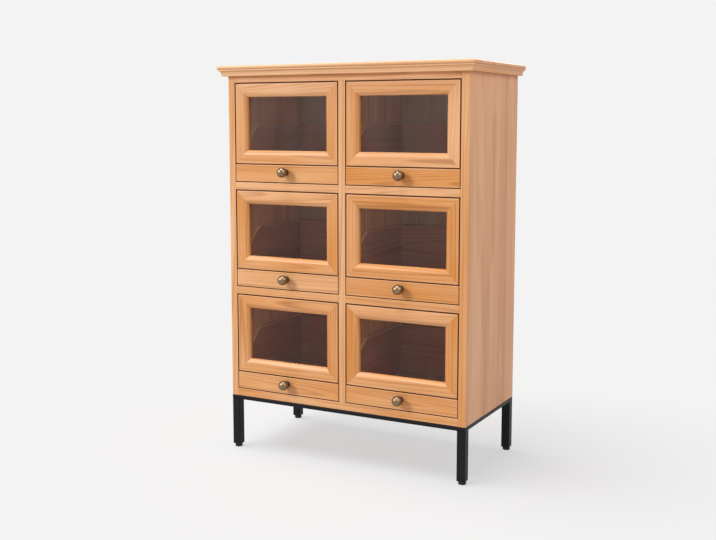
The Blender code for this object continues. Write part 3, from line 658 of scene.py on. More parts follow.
def eased_stops(low, high, ease, support=SUPPORT):
    """Stops along a board as (place, inset): each end draws in on a quarter circle of the ease."""
    angle = np.linspace(0, math.pi / 2, ARC_STEPS + 1)
    inset = np.r_[ease + support, ease * (1 - np.sin(angle)), 0]
    place = np.r_[0, ease * (1 - np.cos(angle)), ease + support]
    return np.column_stack((np.r_[low + place, (high - place)[::-1]], np.r_[inset, inset[::-1]]))


sample = eased_profile([(0, 0), (0.05, 0), (0.05, 0.02), (0, 0.02)], 0.001)
print(f"an eased rectangle has {len(sample)} points")

# %% [markdown]
# ## Carrying a profile along a board
# Almost every wooden or steel piece of the chest is one outline carried along a straight line. The place
# of a point is origin + u U + v V + a A, with A square to U and V. The same three numbers (a, u, v) are
# the board's own coordinates, so they also say where each point sat in the log. For a mitre the stop
# at each end slides along by the distance u from the outer edge, which cuts the end at 45 degrees.

# %% Carried shapes
AXES = X, Y, Z = np.eye(3)
WORN_AND_HIGHLIT_RADII = (0.0005, 0.0041)


def loft_faces(rings, points):
    """Quads between neighbouring rings, and one many-sided face on each end."""
    index = np.arange(rings * points).reshape(rings, points)
    ahead = np.roll(index, -1, axis=1)
    quads = np.stack((index[:-1], ahead[:-1], ahead[1:], index[1:]), -1).reshape(-1, 4)
    return quads.tolist() + [index[0, ::-1].tolist(), index[-1].tolist()]


def carried(corners, radii, stops, origin, u_axis, v_axis, mitre=(0.0, 0.0), support=SUPPORT):
    """A closed shape: an eased profile at every stop, joined up along A = U x V.

    A stop of the low end moves by the low mitre times u, and one of the high end by minus the high
    mitre times u. The edge value is one on roundings that are large enough to be worn, but no mouldings,
    and nought on the rings of the flat ends; there the wood turns paler, as wear and as a painted
    highlight.
    """
    flat = np.stack([eased_profile(corners, radii, inset, support) for _, inset in stops])
    low_half = (np.arange(len(stops)) < len(stops) / 2)[:, None]
    along = stops[:, :1] + np.where(low_half, mitre[0], -mitre[1]) * flat[..., 0]
    local = np.dstack((along, flat)).reshape(-1, 3)
    points = np.asarray(origin) + local @ np.stack((np.cross(u_axis, v_axis), u_axis, v_axis))
    radii = np.broadcast_to(np.asarray(radii, float), len(corners))
    worn_and_highlit = (radii >= WORN_AND_HIGHLIT_RADII[0]) & (radii <= WORN_AND_HIGHLIT_RADII[1])
    on_arc = np.r_[0, np.ones(ARC_STEPS + 1), 0]
    between = np.r_[0, np.ones(len(stops) - 2), 0]
    edge = np.outer(between, np.outer(worn_and_highlit, on_arc)).ravel()
    return dict(points=points, faces=loft_faces(*flat.shape[:2]), local=local, edge=edge)


def boxed(low, high, along, radii, ease, support=SUPPORT):
    """A board that fills a box, with its fibres along one axis and its corners eased one by one."""
    u, v = (along + 1) % 3, (along + 2) % 3
    corners = [(low[u], low[v]), (high[u], low[v]), (high[u], high[v]), (low[u], high[v])]
    stops = eased_stops(low[along], high[along], ease, support)
    return carried(corners, radii, stops, np.zeros(3), AXES[u], AXES[v], support=support)


def joined(*shapes):
    """Several closed shapes in one set of arrays."""
    counts = np.cumsum([0] + [len(shape["points"]) for shape in shapes])
    faces = [[corner + first for corner in face]
             for shape, first in zip(shapes, counts) for face in shape["faces"]]
    whole = {key: np.concatenate([shape[key] for shape in shapes]) for key in shapes[0] if key != "faces"}
    return dict(whole, faces=faces)


block = boxed((0, 0, 0), (0.3, 0.05, 0.02), 0, 0.001, 0.001)
print(f"an eased board has {len(block['points'])} points and {len(block['faces'])} faces")

# %% [markdown]
# ## From shapes to pieces
# A board gets its place in the log from a seeded draw, so that every run saws the same boards. A piece is
# then a mesh with the shape's points and faces and its attributes, which rides on a body of the frame and
# stands in for one or more of its solids. Faces deep in a gap get a dark painted shade as a second
# material.

# %% Sawing and placing
LOG_LIMITS = ((0, 40), (-0.03, 0.03), (0.02, 0.07))
LOG_SLOPE = 0.02
SLOPE_SHARES = (0, 1, 0.6)
IN_A_GAP = 0.5
SHARP_TURN = math.radians(35)
NUMBER = ("FLOAT", "value")
ATTRIBUTES = {"grain": ("FLOAT_VECTOR", "vector"), "shade": NUMBER, "edge": NUMBER, "recess": NUMBER}
draw = np.random.default_rng(1881)


def sawn(shape, shade, order=(0, 1, 2)):
    """Give a board its place in the log: a start along it, the pith to one side, and a slight slope."""
    local = shape["local"][:, order]
    local = local - (local.min(0) + local.max(0)) / 2
    start = [draw.uniform(*limits) for limits in LOG_LIMITS]
    tilt = draw.normal(0, LOG_SLOPE) * local[:, :1] * SLOPE_SHARES
    nowhere = np.zeros(len(local))
    return dict(dict(recess=nowhere), **shape, grain=local + tilt + start, shade=nowhere + shade)


def glued(shape, order=(0, 1, 2)):
    """Give a panel its plain board coordinates, from a random start; its staves are cut in the material."""
    return dict(shape, grain=shape["local"][:, order] + draw.uniform(*LOG_LIMITS[0], 3))


def mark_gaps(mesh, recess):
    """Give painted shade to every face in a gap: even the least recess of its corners is deep."""
    corners = np.empty(len(mesh.loops), int)
    mesh.loops.foreach_get("vertex_index", corners)
    starts = np.empty(len(mesh.polygons), int)
    mesh.polygons.foreach_get("loop_start", starts)
    deep = np.minimum.reduceat(recess[corners], starts) >= IN_A_GAP
    mesh.materials.append(PAINTED_GAP_SHADE_FINISH)
    mesh.polygons.foreach_set("material_index", deep.astype(np.int32))


def add_piece(name, body, slot, material, shape, *nodes):
    """Turn a shape's arrays into a mesh that rides on a body, in place of the named solids."""
    mesh = bpy.data.meshes.new(name)
    mesh.from_pydata(shape["points"].tolist(), [], shape["faces"])
    for label, (kind, field) in ATTRIBUTES.items():
        if label in shape:
            values = np.ascontiguousarray(shape[label], np.float32).ravel()
            mesh.attributes.new(label, kind, "POINT").data.foreach_set(field, values)
    mesh.materials.append(material)
    if material is PINE and shape["recess"].max() >= IN_A_GAP:
        mark_gaps(mesh, shape["recess"])
    mesh.shade_smooth()
    mesh.set_sharp_from_angle(angle=SHARP_TURN)
    if mesh.validate():
        raise ValueError(f"{name} has faces that are not sound")
    piece = bpy.data.objects.new(name, mesh)
    scene.collection.objects.link(piece)
    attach(piece, body)
    if nodes:
        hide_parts(*nodes)
    return piece


print("attributes of a board:", ", ".join(ATTRIBUTES))

# %% [markdown]
# ## The front frame
# The face of the case is two stiles and a mullion with rails between them, flush all over. Each stick is
# one carried rectangle: the edges that a hand can reach are eased by a millimetre, and the edges that
# are glued against a neighbour hardly at all, so a joint shows as a fine line. The mullion passes in
# front of the middle rails, so each of those shows as two lengths. A dark brown is painted into the
# narrow gaps round the drawers and flaps, a little way in from the front, as their shade, which is what
# draws the dark lines there.

# %% Painted shade in the gaps
GAP_DEPTH = 0.0006
GAP_END = 0.012
GAP_FADE = 0.008
EDGE_REACH = 0.0030


def box_of(node):
    """A solid's lowest and highest corners as arrays."""
    return tuple(np.array(corner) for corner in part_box(node))


face_y = box_of("stile_right")[0][1]
case_right = box_of("side_right")[1][0]


def painted_gap_shade(depth):
    """Painted shade grows from none at the front to its full share a little way into a gap, and fades
    further in.
    """
    return np.clip(depth / GAP_DEPTH, 0, 1) * np.clip((GAP_END - depth) / GAP_FADE, 0, 1)


def with_painted_gap_shade(shape):
    """Paint shade on what lies a little way behind the front, apart from the outer sides of the case."""
    points = shape["points"]
    inner = np.abs(points[:, 0]) < case_right - EDGE_REACH
    return dict(shape, recess=inner * painted_gap_shade(points[:, 1] - face_y))


print(f"front of the case at {face_y:.3f} m, sides at {case_right:.3f} m either way")

# %% Stiles, rails and mullion
HAND_EASE = 0.0011
CORNER_EASE = 0.0016
JOINT_EASE = 0.00015
STICK_SHADES = {"stile_left": 0.35, "stile_right": 0.65, "mullion": 0.25, "rail_top": 0.25,
                "rail_upper": 0.10, "rail_lower": 0.55, "rail_bottom": 0.60}
STILE_RADII = {"stile_left": (CORNER_EASE, HAND_EASE, JOINT_EASE, JOINT_EASE),
               "stile_right": (HAND_EASE, CORNER_EASE, JOINT_EASE, JOINT_EASE)}
RAIL_RADII = (HAND_EASE, JOINT_EASE, JOINT_EASE, HAND_EASE)
MULLION_RADII = (HAND_EASE, HAND_EASE, JOINT_EASE, JOINT_EASE)


def stick(node, low, high, along, radii, order=(0, 1, 2)):
    """A length of the front frame that fills a box, with the shade of its node."""
    return sawn(with_painted_gap_shade(boxed(low, high, along, radii, JOINT_EASE)), STICK_SHADES[node], order)


for node, radii in STILE_RADII.items():
    add_piece(f"{node}_board", "case", "pine_case", PINE, stick(node, *box_of(node), 2, radii), node)

inner_left, inner_right = box_of("stile_left")[1][0], box_of("stile_right")[0][0]
mullion_low, mullion_high = box_of("mullion")
for node in ("rail_top", "rail_upper", "rail_lower", "rail_bottom"):
    low, high = box_of(node)
    spans = [(inner_left, inner_right)]
    if node in ("rail_upper", "rail_lower"):
        spans = [(inner_left, mullion_low[0]), (mullion_high[0], inner_right)]
    lengths = [stick(node, (start, *low[1:]), (end, *high[1:]), 0, RAIL_RADII, (0, 2, 1))
               for start, end in spans]
    add_piece(f"{node}_board", "case", "pine_case", PINE, joined(*lengths), node)

mullion_foot, mullion_head = box_of("rail_bottom")[1][2], box_of("rail_top")[0][2]
length = stick("mullion", (*mullion_low[:2], mullion_foot), (*mullion_high[:2], mullion_head), 2,
               MULLION_RADII)
add_piece("mullion_board", "case", "pine_case", PINE, length, "mullion")
print("front frame:", ", ".join(STICK_SHADES))

# %% [markdown]
# ## Sides, back and top
# The sides and top are panels glued up from staves, which is why the photograph shows soft vertical
# bands on the side. A side is rebated at the rear for the back, so its outline is an L. The back is
# a sheet of plywood that is pinned into that rebate, and the top is a board with a rounded nose.

# %% Panels
HAIR = 0.0003
REBATE_WIDTH = 0.010
REBATE_SPARE = 0.0002
BACK_SUNK = 0.0008
SHEET_EASE = 0.0004
SHEET_SUPPORT = 0.0006
SHEET_SHADE = 0.5
NOSE_RADIUS = 0.004
NOSE_SUPPORT = 0.001


def side_outline(low, high, outer, inner, back_face):
    """The L of a side as (x, y) corners, anticlockwise, with the radius of each corner."""
    step = outer + math.copysign(abs(outer - inner) - REBATE_WIDTH, inner - outer)
    corners = [(inner, low[1]), (outer, low[1]), (outer, high[1]), (step, high[1]),
               (step, back_face), (inner, back_face)]
    radii = [JOINT_EASE, JOINT_EASE, HAND_EASE, HAIR, JOINT_EASE, JOINT_EASE]
    return (corners, radii) if outer > inner else (corners[::-1], radii[::-1])


back_low, back_high = box_of("back_panel")
for node, outer_end, inner_end in (("side_left", 0, 1), ("side_right", 1, 0)):
    corners = box_of(node)
    outline, radii = side_outline(*corners, corners[outer_end][0], corners[inner_end][0],
                                  back_low[1] - REBATE_SPARE)
    panel = carried(outline, radii, eased_stops(corners[0][2], corners[1][2], HAIR), np.zeros(3), X, Y)
    add_piece(f"{node}_panel", "case", "pine_case", PINE_PANEL, glued(panel, (0, 2, 1)), node)

sheet_low = back_low + (HAIR, 0, 0)
sheet_high = back_high - (HAIR, BACK_SUNK, 0)
sheet = boxed(sheet_low, sheet_high, 2, SHEET_EASE, SHEET_EASE, SHEET_SUPPORT)
add_piece("back_sheet", "case", "pine_case", PLYWOOD, sawn(sheet, SHEET_SHADE), "back_panel")
slab = boxed(*box_of("top_board"), 0, NOSE_RADIUS, NOSE_RADIUS, NOSE_SUPPORT)
add_piece("top_slab", "case", "pine_case", PINE_PANEL, glued(slab), "top_board")
print("panels: two sides, back and top")

# %% [markdown]
# ## The cornice
# Under the top runs a hollow moulding, planed as one length and mitred round the front corners. Its
# outline is a flat foot, a quarter of an ellipse and a square lip. The ellipse starts upright at the
# foot and ends level at the lip: out = lip - (lip - foot) cos t, up = foot + rise sin t.

# %% Cornice
# Besides their own tone, the front length is paler and the right one deeper: painted light and shade.
CORNICE_SHADES = {"cornice_front": -1.0, "cornice_right": 0.7, "cornice_left": 0.2}
CORNICE_FOOT = 0.014
CORNICE_LIP = 0.022
FOOT_FILLET = 0.003
LIP_FILLET = 0.0035
HOLLOW_STEPS = 9
HOLLOW_RADIUS = 0.002
FOOT_RADII = (HAIR, 0.0008, 0.0004)
LIP_RADII = (0.0006, 0.0004, HAIR)
MITRE_SUPPORT = 0.0004
MOULDING_SUPPORT = 0.0008

case_depth = box_of("side_right")[1][1] - face_y
cornice_base, cornice_top = box_of("cornice_front")[0][2], box_of("cornice_front")[1][2]
turn = np.linspace(0, math.pi / 2, HOLLOW_STEPS)
rise = cornice_top - LIP_FILLET - cornice_base - FOOT_FILLET
hollow = np.column_stack((CORNICE_LIP - (CORNICE_LIP - CORNICE_FOOT) * np.cos(turn),
                          cornice_base + FOOT_FILLET + rise * np.sin(turn)))
moulding = np.vstack(([(HAIR, cornice_base), (CORNICE_FOOT, cornice_base)], hollow,
                      [(CORNICE_LIP, cornice_top), (HAIR, cornice_top)]))
moulding_radii = np.r_[FOOT_RADII, np.full(HOLLOW_STEPS - 2, HOLLOW_RADIUS), LIP_RADII]
mitred, square = -1.0, 0.0
LENGTHS = {
    "cornice_front": ((0, face_y, 0), -Y, (-case_right, case_right), (mitred, mitred)),
    "cornice_right": ((case_right, face_y, 0), X, (-case_depth, 0), (square, mitred)),
    "cornice_left": ((-case_right, face_y, 0), -X, (0, case_depth), (mitred, square)),
}
for node, (origin, outwards, ends, mitre) in LENGTHS.items():
    stops = eased_stops(*ends, JOINT_EASE, MITRE_SUPPORT)
    length = carried(moulding, moulding_radii, stops, origin, outwards, Z, mitre, MOULDING_SUPPORT)
    add_piece(f"{node}_moulding", "case", "pine_case", PINE, sawn(length, CORNICE_SHADES[node]), node)
print(f"cornice: {len(moulding)} corners in its outline")

# %% [markdown]
# ## Turned pieces
# Knobs, glides and pins are round, so each is a profile of (radius, height) pairs turned about an axis.
# The point at turn t is centre + r cos t E + r sin t F + h A, where F = A x E. The profile starts and
# ends on the axis, and there a single point closes the surface.


# %% Turning
def spokes(axis, first, steps):
    """Unit vectors all round an axis A, from a first one E: cos t E + sin t A x E."""
    angle = np.arange(steps) * 2 * math.pi / steps
    return np.cos(angle)[:, None] * first + np.sin(angle)[:, None] * np.cross(axis, first)


def turned(profile, centre, axis, first, steps):
    """A profile, listed from its highest point down, turned about an axis and closed at both poles."""
    profile = np.asarray(profile, float)
    rings = profile[1:-1, :, None]
    grid = np.asarray(centre) + rings[:, :1] * spokes(axis, first, steps) + rings[:, 1:] * axis
    poles = np.asarray(centre) + profile[[0, -1], 1:] * axis
    index = np.arange(len(rings) * steps).reshape(-1, steps)
    ahead = np.roll(index, -1, axis=1)
    quads = np.stack((index[:-1], index[1:], ahead[1:], ahead[:-1]), -1).reshape(-1, 4)
    top = np.column_stack((np.full(steps, index.size), index[0], ahead[0]))
    foot = np.column_stack((np.full(steps, index.size + 1), ahead[-1], index[-1]))
    return dict(points=np.concatenate((grid.reshape(-1, 3), poles)),
                faces=quads.tolist() + top.tolist() + foot.tolist())


def arc(centre, radius, start, end, steps):
    """Points of a circle from one angle to another, in degrees from the axis outwards."""
    angle = np.radians(np.linspace(start, end, steps))
    return np.column_stack((centre[0] + radius * np.sin(angle), centre[1] + radius * np.cos(angle)))


print("a quarter circle ends at", arc((0, 0), 1, 0, 90, 5)[-1].round(3))

# %% [markdown]
# ## Base, glides and pins
# The base is square tube and flat tube, welded and coated black. Each length is one carried square with
# the corner radius that rolled tube has. A leg's outline also goes back up inside at its foot, so the
# tube is open there and the glide sits in it. The welds are rods with a ripple on their radius. The
# glides, and the pins that hold the back, are turned.

# %% Steel base
TUBE_RADIUS = 0.0022
TUBE_WALL = 0.0015
TUBE_OPEN = 0.016
RING_HEIGHT = 0.012
RING_EASE = 0.0012
BUTT_EASE = 0.0002
LEG_EASE = 0.0004
LEG_SUPPORT = 0.003
WELD_RADIUS = 0.0022
WELD_RIPPLE = 0.0025
WELD_SWELL = 0.14
WELD_TIP = 0.004
WELD_INSET = 0.002
WELD_RINGS = 60
WELD_POINTS = 10


def weld(start, end):
    """A weld bead: a rod whose radius ripples along its length and closes at both ends.

    Radius = bead radius x (1 + swell x sin(2 pi a / ripple)) x the root of 1 - (2s - 1)^6, where a is the
    way along the bead and s its share of the whole.
    """
    start, end = np.asarray(start), np.asarray(end)
    share = np.linspace(WELD_TIP, 1 - WELD_TIP, WELD_RINGS)[:, None]
    axis = unit(end - start)
    ripple = 1 + WELD_SWELL * np.sin(2 * math.pi * share * np.linalg.norm(end - start) / WELD_RIPPLE)
    radius = WELD_RADIUS * ripple * np.sqrt(1 - (2 * share - 1) ** 6)
    around = spokes(axis, unit(np.cross(axis, Z)), WELD_POINTS)
    points = start + (end - start) * share[..., None] + radius[..., None] * around
    return dict(points=points.reshape(-1, 3), faces=loft_faces(WELD_RINGS, WELD_POINTS))


base_low, base_high = box_of("base_frame")
foot_low, foot_high = box_of("foot_front_right")
tube_width = 2 * (base_high[0] - (foot_low[0] + foot_high[0]) / 2)
base_far = base_high - tube_width
base_foot, ring_foot = base_low[2], base_high[2] - RING_HEIGHT
tubes = [boxed((base_low[0], y, ring_foot), (base_high[0], y + tube_width, base_high[2]), 0,
               TUBE_RADIUS, RING_EASE) for y in (base_low[1], base_far[1])]
tubes += [boxed((x, base_low[1] + tube_width, ring_foot), (x + tube_width, base_far[1], base_high[2]), 1,
                TUBE_RADIUS, BUTT_EASE) for x in (base_low[0], base_far[0])]
square_tube = [(0, 0), (tube_width, 0), (tube_width, tube_width), (0, tube_width)]
leg_stops = np.array([(base_foot + TUBE_OPEN, TUBE_WALL), (base_foot, TUBE_WALL), (base_foot, LEG_EASE),
                      (base_foot + LEG_EASE, 0), (base_foot + LEG_SUPPORT, 0),
                      (ring_foot - LEG_SUPPORT, 0), (ring_foot, 0)])
welds = []
for x, y in ((x, y) for x in (base_low[0], base_far[0]) for y in (base_low[1], base_far[1])):
    tubes.append(carried(square_tube, TUBE_RADIUS, leg_stops, (x, y, 0), X, Y))
    inner_x = x + tube_width if x < 0 else x
    inner_y = y + tube_width if y < 0 else y
    near, far = WELD_INSET, tube_width - WELD_INSET
    welds.append(weld((inner_x, y + near, ring_foot), (inner_x, y + far, ring_foot)))
    welds.append(weld((x + near, inner_y, ring_foot), (x + far, inner_y, ring_foot)))
add_piece("base_tubes", "case", "black_steel", POWDER_COAT, joined(*tubes), "base_frame")
add_piece("base_welds", "case", "black_steel", POWDER_COAT, joined(*welds))
print(f"base: {len(tubes)} tubes and {len(welds)} welds")

# %% Glides and back pins
GLIDE_STEPS = 40
PLUG_RADIUS = 0.0106
PLUG_RISE = 0.004
RIM = arc((0.0100, 0.0088), 0.0010, 0, 90, 5)
GROOVE = [(0.0110, 0.0062), (0.0104, 0.0058), (0.0104, 0.0052), (0.0110, 0.0048)]
SOLE = arc((0.0086, 0.0024), 0.0024, 90, 180, 7)
PIN_RADIUS = 0.0022
PIN_FOOT = -0.0006
PIN_CROWN = arc((0, -0.0010), 0.0031, 0, 45, 4)
PIN_STEPS = 10
PIN_SPACING = 0.12
PIN_INSET = 0.005
PIN_EDGE = 0.012
PIN_REACH = 0.3
PIN_START, PIN_STOP = 0.03, 0.02

glide_top = base_foot + PLUG_RISE
plug = [(0, glide_top), (PLUG_RADIUS, glide_top), (PLUG_RADIUS, RIM[0, 1])]
glide = np.vstack((plug, RIM, GROOVE, SOLE, [(0, 0)]))
for corner in ("front_left", "front_right", "back_left", "back_right"):
    low, high = box_of(f"foot_{corner}")
    shape = turned(glide, (low + high) / 2 * (1, 1, 0), Z, X, GLIDE_STEPS)
    add_piece(f"glide_{corner}", "case", "foot_rubber", RUBBER, shape, f"foot_{corner}")

pin = np.vstack((PIN_CROWN, [(PIN_RADIUS, PIN_FOOT), (0, PIN_FOOT)]))
pin[:, 1] -= pin[:, 1].max()
heights = np.arange(sheet_low[2] + PIN_START, sheet_high[2] - PIN_STOP, PIN_SPACING)
widths = np.arange(-PIN_REACH, PIN_REACH + PIN_SPACING / 2, PIN_SPACING)
places = [(x, z) for x in (sheet_low[0] + PIN_INSET, sheet_high[0] - PIN_INSET) for z in heights]
places += [(x, z) for z in (sheet_low[2] + PIN_EDGE, sheet_high[2] - PIN_EDGE) for x in widths]
pins = [turned(pin, (x, back_high[1], z), Y, Z, PIN_STEPS) for x, z in places]
add_piece("back_pins", "case", "pivot_steel", STEEL, joined(*pins))
print(f"four glides, and {len(pins)} pins in the back")

# %% [markdown]
# ## Drawers
# A drawer has a low front, two sides, a back and a thin bottom. The sides are the clever part. Behind the
# front they rise in a curve that pushes the flap up as the drawer comes out. If the flap is to turn by
# the same angle for every millimetre of travel, its back sweeps the parallel of a cycloid across the
# side: at angle t it bears cos t over the rate below the rod, along the flap. The outline is worked
# out from that, as the frame's solids are, and the top corner is rounded off to a shoulder.

# %% Drawer sides
TRAVEL = 0.250
RATE = math.radians(60) / TRAVEL
FLAP_THICKNESS = 0.020
FLAP_HEIGHT = 0.2315
ROD_DROP = 0.009
ROD_SETBACK = 0.007
ROD_HEIGHT = 0.2765
CAM_CLEARANCE = 0.001
SIDE_FOOT = 0.0003
SIDE_TOP = 0.1703
SIDE_FRONT = 0.0203
SIDE_BACK = 0.354
SIDE_THICKNESS = 0.009
SHOULDER_DROP = 0.008
SHOULDER_RUN = 0.018
SHOULDER_POINTS = 7
CAM_POINTS = 15
FINE_POINTS = 4000


def cam_curve(angle):
    """Where the flap's back bears on a drawer side at an angle, as (depth, height) in the drawer."""
    along = np.minimum(np.cos(angle) / RATE, FLAP_HEIGHT - ROD_DROP + CAM_CLEARANCE)
    behind = FLAP_THICKNESS - ROD_SETBACK + CAM_CLEARANCE
    depth = ROD_SETBACK + angle / RATE + behind * np.cos(angle) - along * np.sin(angle)
    return np.column_stack((depth, ROD_HEIGHT - along * np.cos(angle) - behind * np.sin(angle)))


def side_profile():
    """The outline of a drawer side: front edge, lifting curve, round shoulder, flat top and back.

    The shoulder is (1 - s)^2 P + 2 s (1 - s) Q + s^2 R, from P on the curve past the corner Q to R on top.
    """
    angle = np.linspace(0, math.pi / 2, FINE_POINTS)
    depth, height = cam_curve(angle).T
    corner = np.array((np.interp(SIDE_TOP, height, depth), SIDE_TOP))
    curve = cam_curve(np.linspace(0, np.interp(SIDE_TOP - SHOULDER_DROP, height, angle), CAM_POINTS))
    curve[:, 0] = np.maximum(curve[:, 0], SIDE_FRONT + SIDE_FOOT)
    share = np.linspace(0, 1, SHOULDER_POINTS)[1:, None]
    crown = corner + (SHOULDER_RUN, 0)
    bend = (1 - share) ** 2 * curve[-1] + 2 * share * (1 - share) * corner + share ** 2 * crown
    back = [(SIDE_BACK, SIDE_FOOT), (SIDE_BACK, SIDE_TOP)]
    return np.vstack((back, bend[::-1], curve[::-1], [(SIDE_FRONT, SIDE_FOOT)]))


SIDE_PROFILE = side_profile()
print(f"a drawer side: {len(SIDE_PROFILE)} corners, curved for {SIDE_PROFILE[2][0] * 1000:.0f} mm")

# %% [markdown]
# ## A ball knob
# The knob is a ball on a short neck with a bead under it, and a rosette that spreads against the front.
# Patina collects where a polishing cloth can't reach, so every ring of the profile also says how deep in
# a hollow it lies.

# %% Knob profile
BALL_RADIUS = 0.0145
BALL_CENTRE = 0.0215
BALL_POINTS = 30
BALL_RECESS = np.interp(np.arange(BALL_POINTS), (0, 20, 29), (0.0, 0.1, 0.8))
KNOB_STEPS = 56
KNOB_RISE = 0.032
# Each part's (radius, height) pairs from the crown to the front of the drawer, and its depth in a hollow.
KNOB_PARTS = {
    "ball": (arc((0, BALL_CENTRE), BALL_RADIUS, 0, 155, BALL_POINTS), BALL_RECESS),
    "bead": (arc((0.0058, 0.0072), 0.0009, 20, 160, 7), 0.45),
    "neck": ([(0.0052, 0.0058), (0.0053, 0.0050), (0.0058, 0.0042), (0.0068, 0.0036)], 0.9),
    "rosette_step": ([(0.0082, 0.0033), (0.0084, 0.0027)], (0.6, 0.7)),
    "rosette_rim": (arc((0.0092, 0.0016), 0.0013, 10, 90, 7), 0.25),
    "rosette_back": ([(0.0105, HAIR), (0, HAIR)], 0.5),
}
KNOB_PROFILE = np.vstack([points for points, _ in KNOB_PARTS.values()])
KNOB_RECESS = np.concatenate([np.broadcast_to(depth, len(points)) for points, depth in KNOB_PARTS.values()])


def knob(centre):
    """A knob that stands out of a drawer front at a point of its face."""
    shape = turned(KNOB_PROFILE, centre, -Y, X, KNOB_STEPS)
    return dict(shape, recess=np.r_[np.repeat(KNOB_RECESS[1:-1], KNOB_STEPS), KNOB_RECESS[[0, -1]]])


print(f"the knob's profile has {len(KNOB_PROFILE)} points")

# %% [markdown]
# ## Flap frames
# A flap is four mitred lengths of one moulding: a rounded outer edge, a flat face, a bevel down to the
# glass, and a rebate behind that holds the pane. Each length gets its own place in a log, so that
# the grain turns at the mitres as it does on a real frame. Thin strips behind keep the pane in.

# %% Flap outlines
MEMBER = 0.039
LAP = 0.008
SETBACK = 0.013
BEVEL_RUN, BEVEL_DROP = 0.010, 0.006
PANE_THICKNESS = 0.004
PANE_SPARE = 0.0006
FLAP_PROFILE = [(0, 0), (MEMBER - BEVEL_RUN, 0), (MEMBER, BEVEL_DROP), (MEMBER, SETBACK),
                (MEMBER - LAP, SETBACK), (MEMBER - LAP, FLAP_THICKNESS), (0, FLAP_THICKNESS)]
FLAP_RADII = [0.0022, 0.0140, 0.0050, 0.0003, 0.0002, 0.0004, 0.0010]
STRIP_SHY = 0.0004
STRIP_OUTER, STRIP_INNER = MEMBER - LAP + HAIR, MEMBER - STRIP_SHY
STRIP_FRONT = SETBACK + PANE_THICKNESS + PANE_SPARE
STRIP_PROFILE = [(STRIP_OUTER, STRIP_FRONT), (STRIP_INNER, STRIP_FRONT),
                 (STRIP_INNER, FLAP_THICKNESS - STRIP_SHY), (STRIP_OUTER, FLAP_THICKNESS - STRIP_SHY / 2)]
STRIP_RADIUS = 0.0004
STRIP_SUPPORT = 0.0002


def mitred_frame(profile, radii, low, high, shades, support):
    """Four mitred lengths round a rectangle: top, right, bottom and left."""
    centre = (low + high) / 2
    half_x, _, half_z = (high - low) / 2
    lengths = []
    for inwards, shade in zip((-Z, -X, Z, X), shades):
        half, reach = (half_z, half_x) if inwards[0] else (half_x, half_z)
        origin = (centre[0], low[1], centre[2]) - inwards * reach
        stops = eased_stops(-half, half, JOINT_EASE, MITRE_SUPPORT)
        length = carried(profile, radii, stops, origin, inwards, Y, (1.0, 1.0), support)
        _, across, depth = length["local"].T
        # Painted shade in the gap along each length's outer edge.
        lengths.append(sawn(dict(length, recess=(across < EDGE_REACH) * painted_gap_shade(depth)), shade))
    return joined(*lengths)


print("flap moulding:", len(FLAP_PROFILE), "corners")

# %% [markdown]
# ## Six bays
# Every bay now gets its drawer and its flap. The drawer's pieces ride on the drawer's body and the
# flap's pieces on the flap's body, so a pose moves them as the joints do. The rods stay as the frame has
# them and get the steel.

# %% One drawer
FRONT_EASE = 0.0012
SIDE_RADIUS = 0.0012
SIDE_SUPPORT = 0.0012
SIDE_EASE = 0.0009
BACK_RADIUS = 0.0006
BACK_EASE = 0.0008
BOTTOM_SUPPORT = 0.0008
BOTTOM_SHADE = 0.6
BOTTOM_HEIGHTS = (0.0113, 0.0173)
NOTCH_HALF, NOTCH_RISE = 0.0128, 0.0088
# Boxes are deeper in tone towards the bottom row: a painted shade inside the lower bays.
BOX_SHADES = {"bottom": 0.9, "middle": 0.7, "top": 0.5}
BOX_SPREAD = 0.15


def add_in_bay(bay, mover, part, slot, material, shape, *nodes):
    """A piece of a bay that rides on its drawer or flap; every name ends in the bay's own."""
    solids = [f"{node}_{bay}" for node in nodes]
    add_piece(f"{part}_{bay}", f"{mover}_{bay}", slot, material, shape, *solids)


